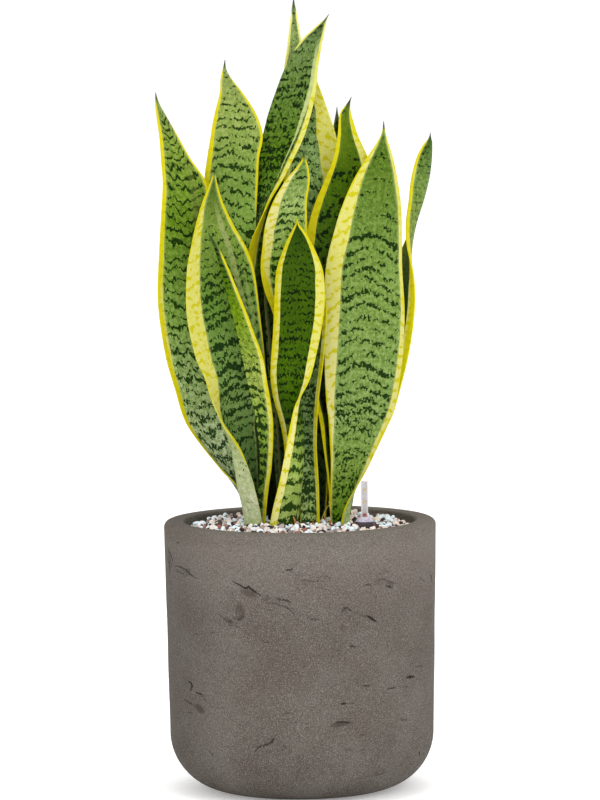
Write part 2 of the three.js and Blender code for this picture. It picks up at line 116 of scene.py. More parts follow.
# Water gauge, millimetres
GAUGE_X = 59
GAUGE_Y = -40
GAUGE_TOP = 287
GAUGE_STEPS = 40
FLANGE_LEVEL = 244.5
FLANGE_RADIUS = 8.8
FLANGE_ROUNDING = 1
SLEEVE_RADIUS = 7
SLEEVE_BORE = 5.7
SLEEVE_FLOOR = 3
SLEEVE_HOLE = 3
DOME_LEVEL = 250
DOME_RADIUS = 8.4
DOME_EDGE = 0.5
DOME_TOP = 4.7
DOME_ROUNDING = 5.8
DOME_ROUNDING_RADIUS = 2.6
DOME_ROUNDING_DROP = 1.4
TUBE_RADIUS = 3.1
TUBE_BORE = 2.1
TUBE_FOOT = 4.6
TUBE_ROUNDING = 0.8
TUBE_LID = 1
# The tube glows a little, as painted light
TUBE_PAINTED_GLOW = 0.2
TUBE_WINDOW = 0.03
WINDOW_SOFTNESS = 0.6
FLOAT_RADIUS = 5.1
FLOAT_ROUNDING = 0.7
FLOAT_FLAT = 4.6
FLOAT_LENGTH = 60
ROD_RADIUS = 1.1
POINTER_LEVEL = 254.2
POINTER_HEIGHT = 3
POINTER_RADIUS = 1.6
POINTER_BEVEL = 0.4
POINTER_TOP_BEVEL = 0.5
MARK_LEVELS = (267.4, 278.2)
MARK_HEIGHT = 1.7
MARK_SUNK = 0.2
MARK_RAISED = 0.15
MARK_HALF_ANGLE = 27
MARK_STEPS = 9

# Mineral grains, millimetres. The second layer lies scattered on the first. A share is that part of its own
# radius which a grain keeps clear of the wall, the gauge or a leaf.
GRAIN_LEVEL = 244.5
GRAIN_EDGE_LEVEL = 236.5
GRAIN_FLAT_RADIUS = 90
GRAIN_SIZES = ((2.1, 3.6), (1.8, 3.3))
GRAIN_TRIES = (16000, 1700)
GRAIN_LAYERS = (0, 2.2)
GRAIN_SINK = 1.2
GRAIN_SCATTER = 0.8
GRAIN_PACKING = 0.84
GRAIN_WALL_SHARE = 0.8
GRAIN_GAUGE_SHARE = 0.9
GRAIN_LEAF_SHARE = 0.75
GRAIN_LEAF_GAP = 1.2
FOOTPRINT_POINTS = 41
GRAIN_CELL = 8
GRAIN_SEED = 7
# The grains glow a little as painted light, and their base colour is cut to the share that follows
GRAIN_PAINTED_GLOW = 0.18
GRAIN_SHADE = 0.88
STONE_SHAPES = 24
STONE_POINTS = 18
STONE_ROUGHNESS = (0.88, 1.12)
STONE_LEAST = (0.95, 0.78, 0.68)
STONE_MOST = (1.3, 1.05, 0.95)
FILL_DROP = 4.5
FILL_RINGS = 60
FILL_STEPS = 180
FILL_LUMP = 5
FILL_LUMP_HEIGHT = 1.4

# Each kind of grain: its share, and its lightest and darkest colour
GRAIN_COLORS = {
    "white": (0.33, (246, 253, 255), (212, 231, 240)),
    "cream": (0.29, (250, 239, 227), (224, 207, 193)),
    "grey": (0.09, (188, 176, 172), (140, 128, 124)),
    "brown": (0.24, (96, 76, 72), (46, 34, 34)),
    "red": (0.06, (190, 136, 116), (138, 92, 78)),
}
GRAIN_PORE = (90, 82, 80)

# Clay colours, from the foot to the rim, darker towards the foot as painted shade and lighter near the top
# as painted light, and those of its sand, of the painted shadow in its pores and cracks, and of the painted
# shade in its pits, which also colours its scratches
CLAY_FOOT = (79, 72, 66)
CLAY_SIDE = (91, 84, 77)
CLAY_TOP = (114, 107, 100)
CLAY_RIM = (108, 101, 93)
CLAY_PALE = (114, 111, 104)
CLAY_DARK = (54, 49, 45)
CLAY_GRAIN = (176, 168, 160)
CLAY_HOLLOW_SHADE_AND_SCRATCH = (76, 69, 62)
CLAY_CRACK_AND_PORE_SHADOW = (26, 23, 21)
# Where the painted shade of the pot's left side begins, millimetres from the middle
CLAY_PAINTED_SHADE_X = -60

# Where a ramp of three shades has its colours
SHADE_STOPS = (0.3, 0.55, 0.75)

# Dried sheath bits: foot, tip and width, millimetres
SHEATHS = [
    ((-4, -25, 243), (-5.5, -28, 254), 3.6), ((-7.5, -25, 243), (-8.5, -27, 251), 2.8),
    ((-12, -25, 243), (-12.5, -27, 250), 2.5), ((27.8, -20, 242), (28.2, -22, 250), 3),
    ((11.5, -25, 243), (12, -27, 250.5), 2), ((-19, -26, 243), (-17.5, -28, 251), 2.2),
]
SHEATH_ROWS = 9
SHEATH_SIDES = 8
SHEATH_TIP = 0.15
SHEATH_FLATNESS = 0.35
SHEATH_NARROWING = 0.6
SHEATH_WAVES = 4
SHEATH_SWAY = 0.6
SHEATH_CURL = 0.8

# Straws: the points that each runs through, millimetres, and their thickness
STRAWS = [
    [(19, -34, 249), (21.5, -34, 256), (25, -33, 262.5), (29, -32, 267), (34.5, -31, 270)],
    [(28.5, -34, 250), (28.2, -34, 257), (27.2, -34, 264), (26.4, -33, 268)],
    [(24, -34, 248), (22.6, -34, 253), (22.4, -33, 259)],
]
STRAW_THICKNESS = 0.6
STRAW_ROWS = 14
STRAW_SIDES = 6

# Camera, fitted to the pot's rim and foot: millimetres, degrees, pixels of the photo's frame
FOCAL_PIXELS = 4685
FRAME_PIXELS = 800
FRAME_WIDTH = 600
PIXELS_PER_MM = 1.12
SENSOR = 36
CAMERA_DISTANCE = 4300
CAMERA_ELEVATION = 5.025
CAMERA_ROLL = -0.58
CAMERA_AIM = (1.16, 0, 358.1)

# Surroundings, with the floor's reach in millimetres, and soft lights: name, place in metres, diameter in
# metres and power in watts
WORLD_STRENGTH = 1.06
FLOOR_REACH = 20000
FLOOR_GLOW = 0.25
LIGHT_AIM = (0, 0, 0.35)
LIGHTS = [
    ("key", (1.5, -2.4, 2.2), 1.4, 16),
    ("fill", (-2.0, -2.2, 1.4), 1.6, 6),
    ("top", (0.1, -0.1, 2.6), 1.4, 10),
]

# Every leaf, from the ground up. A station is its height, x, y, half width, fold and facing, as in the
# CAD model. A margin row is a height with the widths of the left and right yellow margins.
LEAVES = {
    "leaf_left_outer": {
        "stations": [
            [240, -44.5, 10, 13.5, 150, 60], [260, -49, 9, 14, 140, 58], [280, -57.5, 8, 15, 130, 50],
            [300, -71, 7, 17, 110, 40], [320, -80, 6, 20, 80, 30], [340, -87, 6, 23, 60, 22],
            [370, -92, 6, 25, 45, 16], [400, -98, 6, 26, 38, 12], [450, -103, 6, 27, 35, 10],
            [500, -101.5, 6, 26.5, 35, 10], [540, -102, 5, 23, 35, 10], [560, -103.5, 5, 20.3, 35, 10],
            [580, -110.5, 4, 14.2, 35, 10], [600, -116.5, 4, 9.2, 40, 10], [620, -123.2, 4, 4.6, 40, 10],
            [631, -126.5, 4, 2, 10, 10], [641, -128, 4, 0.8, 0, 10],
        ],
        "margins": [
            [270, 0, 0], [285, 1.5, 1], [305, 2.3, 1.7], [330, 3.4, 2.3], [405, 5.6, 2.5], [460, 5, 2.5],
            [505, 4.4, 2.5], [560, 3.4, 2.2], [600, 3, 1.2], [615, 2.4, 0], [632, 0.8, 0],
        ],
    },
    "leaf_left_back": {
        "stations": [
            [240, -36, 38, 12, 120, 30], [290, -42, 36, 12.5, 100, 25], [340, -48, 30, 14, 70, 15],
            [400, -56.5, 26, 18, 45, 8], [440, -59.5, 24, 21.5, 38, 5], [480, -61.5, 24, 24, 35, 3],
            [520, -62, 24, 25, 35, 0], [560, -60, 24, 25.3, 35, 0], [580, -58, 24, 24.5, 35, 0],
            [600, -54.5, 24, 24.5, 32, 0], [620, -55.5, 24, 19.5, 30, 0], [640, -59.2, 24, 10.5, 30, 0],
            [652, -63.5, 24, 5.4, 30, 0], [660, -65, 24, 2, 10, 0], [670, -64.5, 24, 0.8, 0, 0],
        ],
        "margins": [
            [240, 0, 0], [400, 4, 0], [525, 4.6, 0], [545, 4.8, 1.6], [585, 4.6, 2.3], [605, 3.2, 2.3],
            [620, 3, 2.2], [640, 1.6, 1.8], [655, 1.6, 0], [662, 0, 0],
        ],
    },
    "leaf_left_front": {
        "stations": [
            [240, -48.5, -16, 20, 190, 88], [260, -51, -16, 20, 190, 85], [280, -55, -15, 21, 185, 80],
            [300, -57.5, -14, 22, 170, 68], [320, -60, -13, 23, 150, 55], [340, -64, -12, 25, 120, 40],
            [360, -62, -12, 27, 80, 25], [380, -60, -12, 30, 55, 15], [400, -63.5, -12, 33, 42, 10],
            [440, -69, -12, 34.5, 36, 8], [480, -71, -12, 31.5, 35, 8], [500, -72.5, -12, 26, 35, 8],
            [520, -75.5, -12, 18, 35, 8], [540, -77, -12, 10.2, 35, 8], [556, -76, -12, 4.2, 30, 8],
            [565, -75, -12, 1.6, 10, 8], [573, -74, -12, 0.8, 0, 8],
        ],
        "margins": [
            [300, 0, 0], [315, 1.4, 0], [325, 4, 0], [340, 6.9, 0], [360, 11.3, 0], [380, 13.1, 0.4],
            [400, 15.1, 0.8], [420, 16, 1.3], [450, 14.1, 1.4], [480, 12, 2.2], [505, 8.3, 3.5],
            [525, 5.6, 3], [545, 2.4, 2], [560, 1, 1],
        ],
    },
    "leaf_front_small": {
        "stations": [
            [240, -37, -16, 5, 90, 0], [280, -33, -18, 5.5, 80, -5], [300, -30.5, -20, 6, 70, -5],
            [340, -31, -24, 8.2, 55, -5], [380, -38, -27, 9.6, 50, 0], [400, -41.5, -28, 9.7, 45, 0],
            [420, -47, -28, 8.2, 45, 0], [440, -53, -28, 7, 45, 0], [460, -59.5, -27, 5.6, 45, 0],
            [480, -66, -26, 4.1, 45, 0], [500, -73.5, -25, 2.2, 30, 0], [514, -81, -24, 0.8, 0, 0],
        ],
        "margins": [
            [240, -3, 2.6], [270, -3, 3.6], [300, -3, 4.2], [330, -3, 4.5], [400, -3, 3.6],
            [435, -3, 2.7], [470, -3, 2.3], [490, -3, 1.7], [503, -3, -1],
        ],
    },
    "leaf_back_top": {
        "stations": [
            [240, -8, 30, 12, 120, 0], [320, -9, 38, 14, 100, 0], [400, -10, 46, 18, 60, 0],
            [480, -11, 50, 23, 45, 0], [540, -9, 50, 22.5, 42, 0], [580, -2, 50, 18, 45, 0],
            [620, 1, 50, 14, 55, -5], [660, 0, 50, 11, 70, -10], [680, 0.5, 50, 8.5, 90, -15],
            [700, 0, 50, 5.5, 100, -20], [712, -0.5, 50, 3, 80, -20], [718, -1, 50, 1.6, 20, -20],
            [727, -1, 50, 0.8, 0, -20],
        ],
        "margins": [
            [240, 1, 1], [500, 1.4, 1.4], [580, 2.1, 2.1], [680, 2.2, 2], [708, 1.5, 1.5], [718, -1, -1],
        ],
    },
    "leaf_centre_top": {
        "stations": [
            [240, -20, 12, 13, 120, -95], [290, -24, 13, 14, 115, -98], [340, -27.5, 15, 16, 105, -102],
            [400, -31, 18, 18, 100, -105], [460, -33.5, 20, 20, 95, -104], [480, -34, 20, 20.5, 95, -98],
            [500, -34, 20.5, 20.7, 95, -88], [520, -32.6, 21, 21, 85, -70], [540, -30.5, 22, 21, 72, -52],
            [560, -24, 23, 21, 60, -38], [580, -17.5, 24, 21, 48, -27], [600, -10.5, 25, 20.5, 38, -15],
            [620, -5, 25, 20.5, 35, -10], [640, 0.5, 25, 19, 35, -8], [660, 5.5, 25, 16, 35, -8],
            [680, 12.5, 25, 12, 35, -8], [690, 17.5, 25, 9, 30, -8], [700, 24, 25, 4.2, 20, -8],
            [705, 27.5, 25, 1.8, 10, -8], [711, 31.5, 25, 0.8, 0, -8],
        ],
        "margins": [
            [445, -2, -2], [465, -2, 6], [490, -2, 9.5], [515, -2, 9.5], [535, -2, 8],
            [565, -2, 6], [595, -2, 5], [630, -2, 3.9], [650, -2, 2.7], [672, -2, 2],
            [680, 1, 1.9], [685, 1.8, 1.8], [696, 2, 1.4], [706, 1.2, 1],
        ],
    },
    "leaf_centre_back": {
        "stations": [
            [240, 14, 18, 12, 120, 5], [280, 14, 22, 14, 100, 5], [320, 14, 26, 18, 80, 0],
            [380, 14, 32, 24, 50, 0], [440, 15, 36, 28, 40, 0], [500, 15, 37, 29, 36, 0],
            [540, 15, 37, 29, 34, 0], [580, 15.5, 37, 25.5, 34, 0], [600, 15.5, 37, 21.5, 32, 0],
            [620, 15, 37, 15.5, 30, 0], [640, 14, 37, 9.5, 30, 0], [655, 13, 37, 4.5, 20, 0],
            [664, 12, 37, 1.6, 10, 0], [672, 11, 37, 0.8, 0, 0],
        ],
        "margins": [
            [240, -2, 0.8], [400, -2, 1.2], [440, 4, 13], [530, 5, 17], [575, 5, 19], [600, 4, 18],
            [620, 3, 12], [640, 2, 8], [660, 1, 2],
        ],
    },
    "leaf_centre_mid": {
        "stations": [
            [240, 4, 5, 10, 120, 0], [320, 1, 1, 11, 90, 0], [380, -2, -2, 13, 60, 3],
            [420, -5, -4, 15, 45, 5], [440, -7, -4, 17, 38, 5], [460, -11.5, -4, 19.8, 35, 5],
            [480, -13.5, -4, 21, 35, 5], [500, -11.5, -4, 21, 32, 5], [520, -10, -4, 19.5, 30, 5],
            [540, -6.5, -4, 16, 30, 5], [560, 1, -4, 11.4, 30, 5], [572, 5.5, -4, 5.5, 25, 5],
            [579, 7, -4, 2, 10, 5], [587, 6, -4, 0.8, 0, 5],
        ],
        "margins": [
            [240, 2, 1], [420, 5, 1.8], [450, 6.6, 1.8], [485, 8.7, 1.8], [505, 9.4, 1.8],
            [525, 9.5, 1.8], [540, 7.3, 1.8], [560, 4.6, 1.8], [575, 2, 1.4], [582, 0.8, 0.8],
        ],
    },
    "leaf_front_centre": {
        "stations": [
            [240, -6, -21, 25, 155, -128], [260, -3, -21, 24.5, 155, -118], [280, 0, -22, 24, 158, -105],
            [300, 2, -23, 23.5, 155, -95], [320, 3, -24, 23.5, 148, -85], [340, 1, -25, 23, 130, -72],
            [360, -3, -26, 22.5, 100, -55], [380, -4.4, -26, 22, 60, -30], [400, -3.5, -26, 21.5, 42, -12],
            [420, -1, -26, 22.3, 35, -4], [440, 1, -26, 23.3, 32, 0], [460, 2, -26, 23.3, 30, 0],
            [480, 2, -26, 21.3, 30, 0], [500, 1.5, -26, 13.8, 30, 0], [512, 1, -26, 7.5, 25, 0],
            [520, 0.3, -26, 2.6, 10, 0], [526, 0, -26, 0.8, 0, 0],
        ],
        "margins": [
            [240, 5, 7.5], [280, 5, 6.4], [300, 5, 6.2], [340, 5, 6.4], [360, 5.2, 7], [380, 5.8, 7.6],
            [405, 6, 7.8], [435, 5.6, 8.3], [450, 5.4, 8.8], [470, 5.6, 8.4], [490, 4.4, 5.1],
            [507, 2.6, 2.8], [516, 2.4, 2.4], [526, 1, 1],
        ],
    },
    "leaf_front_right": {
        "stations": [
            [240, 9, -11, 10.6, 90, 0], [280, 9.5, -9.5, 9.2, 80, 0], [320, 8.8, -8.5, 8.2, 70, -5],
            [360, 10.5, -11, 9.4, 55, -15], [400, 14, -14.5, 11.6, 45, -20], [440, 16, -16, 12.6, 40, -20],
            [460, 15, -16, 11.6, 40, -20], [480, 13, -16, 8.5, 35, -15], [497, 12, -16, 2.5, 20, -10],
            [506, 12, -16, 0.8, 0, -10],
        ],
        "margins": [[240, 0, 2.6], [320, 0, 3.4], [400, 0, 4], [460, 0, 3.4], [500, 0, 1]],
    },
    "leaf_right_front": {
        "stations": [
            [240, 42.5, -10, 16, 170, -60], [260, 43.5, -10, 17, 150, -52], [280, 46, -9, 18.5, 110, -35],
            [300, 48.5, -8, 20, 62, -18], [320, 52, -7, 24.2, 42, -10], [340, 56, -6, 29.2, 35, -8],
            [360, 58, -6, 33.3, 32, -8], [400, 60.5, -6, 36.8, 30, -8], [440, 62, -6, 37.3, 30, -8],
            [480, 61.5, -6, 35.8, 30, -8], [520, 66.5, -6, 30.7, 30, -8], [540, 69.5, -6, 26.7, 30, -8],
            [560, 72.5, -6, 20.6, 30, -8], [580, 76.5, -6, 12.3, 30, -8], [594, 79, -6, 5.2, 25, -8],
            [603, 80, -6, 1.8, 10, -8], [613, 80, -6, 0.8, 0, -8],
        ],
        "margins": [
            [240, 0.5, 1], [260, 0.8, 1.6], [290, 1.4, 3.6], [320, 3, 5], [350, 6.5, 5], [370, 8.9, 4.6],
            [395, 11, 4.2], [420, 12.8, 3.8], [440, 13.4, 3.2], [465, 14.9, 2.8], [505, 15.2, 2.6],
            [525, 13.4, 3], [540, 11.7, 3], [560, 8.2, 2.6], [580, 4.2, 2.3], [592, 1.8, 1.6],
            [600, 0.6, 0.6],
        ],
    },
    "leaf_right_mid": {
        "stations": [
            [240, 36.5, 9, 9.5, 125, -10], [260, 37, 9, 11, 110, -10], [280, 38.5, 9.5, 13.5, 90, -8],
            [320, 40, 10, 19.5, 62, -5], [340, 39.5, 10, 21.5, 52, -5], [380, 36, 10, 26.5, 40, -5],
            [420, 35, 10, 29.5, 35, -5], [460, 37, 10, 31.7, 35, -5], [500, 40, 10, 32.7, 35, -5],
            [520, 42.5, 10, 32, 35, -5], [540, 46, 10, 29, 35, -5], [560, 49, 10, 23, 35, -5],
            [580, 50, 10, 16, 32, -5], [600, 47.5, 10, 9.5, 30, -5], [620, 45.5, 10, 5.2, 25, -5],
            [627, 47.5, 10, 2.4, 10, -5], [635, 51, 10, 0.8, 0, -5],
        ],
        "margins": [
            [240, 1, 2], [300, 1.6, 2.5], [322, 3, 4], [450, 6.6, 8], [505, 8, 9], [540, 6.6, 9],
            [560, 5, 8.6], [575, 4.1, 8.1], [595, 3, 5.4], [615, 1.7, 2.7], [625, 1, 0.6], [629, 0, 0],
        ],
    },
    "leaf_right_back": {
        "stations": [
            [240, 23, 42, 11, 110, 10], [340, 32, 46, 14, 70, 5], [420, 41, 50, 17, 45, 0],
            [500, 46, 52, 18, 38, 0], [560, 45, 52, 14, 36, 0], [590, 41.5, 52, 8.5, 32, 0],
            [606, 38.7, 52, 4.4, 25, 0], [616, 38, 52, 1.8, 10, 0], [625, 38, 52, 0.8, 0, 0],
        ],
        "margins": [[240, 2, 2], [500, 3, 3], [590, 1, 2], [606, 0, 0]],
    },
    "leaf_right_outer": {
        "stations": [
            [240, 41, 27, 12.5, 120, -50], [260, 43, 27, 13, 110, -48], [280, 48, 27, 14, 95, -46],
            [300, 57, 27, 15, 80, -44], [320, 67, 26, 16, 70, -42], [340, 76.5, 26, 17.5, 62, -40],
            [360, 81.5, 25, 19, 55, -40], [400, 89.2, 23, 21, 42, -40], [440, 96, 22, 21, 40, -45],
            [470, 99.5, 18, 20, 42, -56], [500, 104.5, 15, 19.5, 45, -88], [520, 108.5, 14, 19, 50, -102],
            [540, 114, 14, 18.5, 55, -112], [560, 117.6, 14, 17, 55, -122], [580, 120, 14, 12, 50, -128],
            [590, 121.5, 14, 7.5, 40, -128], [597, 122.7, 14, 2.4, 10, -128], [602, 123, 14, 0.8, 0, -128],
        ],
        "margins": [
            [240, 2, 4], [330, 2, 8], [400, 2, 11], [460, 2, 11], [490, 1.6, 7], [510, 1.6, 4.4],
            [540, 1.8, 3.2], [575, 2, 2.6], [590, 1, 1.6], [596, 0, 0.6],
        ],
    },
    "leaf_rear_left": {
        "stations": [
            [240, -22, 56, 12, 120, 160], [320, -32, 60, 17, 80, 165], [400, -42, 62, 22, 45, 170],
            [460, -46, 63, 24, 38, 172], [510, -48, 63, 22, 35, 175], [545, -52, 63, 14, 30, 175],
            [564, -55.5, 63, 4.5, 20, 175], [577, -57, 63, 0.8, 0, 175],
        ],
        "margins": [[240, 1, 2], [320, 3, 4], [460, 5, 7], [545, 3, 4], [568, 0.6, 0.6]],
    },
    "leaf_rear_centre": {
        "stations": [
            [240, 8, 60, 12, 120, 180], [320, 6, 66, 17, 80, 180], [400, 3, 71, 22, 45, 182],
            [480, 0, 74, 24, 38, 184], [560, -2, 75, 20, 35, 184], [600, -2, 75, 11, 30, 184],
            [618, -1, 75, 3.5, 20, 184], [628, 0, 75, 0.8, 0, 184],
        ],
        "margins": [[240, 2, 1], [320, 4, 3], [480, 8, 5], [560, 5, 4], [600, 2, 2], [618, 0.6, 0.6]],
    },
    "leaf_rear_right": {
        "stations": [
            [240, 40, 58, 12, 120, 200], [320, 50, 64, 17, 80, 195], [400, 60, 70, 23, 45, 190],
            [460, 65, 73, 24, 38, 188], [510, 68, 74, 18, 35, 186], [540, 69, 74, 9, 30, 186],
            [554, 69, 74, 3, 20, 186], [563, 69, 74, 0.8, 0, 186],
        ],
        "margins": [[240, 1, 1], [320, 4, 3], [460, 6, 6], [540, 3, 3], [557, 0.6, 0.6]],
    },
}

# What a leaf has where its look says nothing else. "bands" rows are a height with the spacing of the dark
# cross bands and how strong they are. "arch" is how much higher the bands lie at the midrib than at the
# edges, and "slant" how much they drop from left to right, millimetres. "cross" is how much the dark marks
# keep to bands, and "ragged", "clump", "patchy", "wave" and "zigzag" are how they break up. "deep",
# "cream" and "border" belong to the yellow margin. So do a scale of its brightness, which is painted light
# above 1 and painted shade below 1, and a glow of its inner face, which is painted light. A number holds
# for the whole leaf. Rows give a height with one value, or with one for each half of the blade.
USUAL_LOOK = {
    "arch": 2, "slant": 0, "cross": 1.3, "ragged": 2.4, "clump": (0.5, 0.38), "patchy": 1.5, "wave": 0.2,
    "zigzag": 1.2, "outer_bands": 1, "mottle": 0.9, "deep": 0, "margin_light_and_shade": 1, "cream": 0, "border": 0.25,
    "margin_painted_glow": 0, "dark_tip": True, "streaks": [],
}
POINT_LOOKS = ("deep", "margin_light_and_shade", "cream", "cross", "ragged")
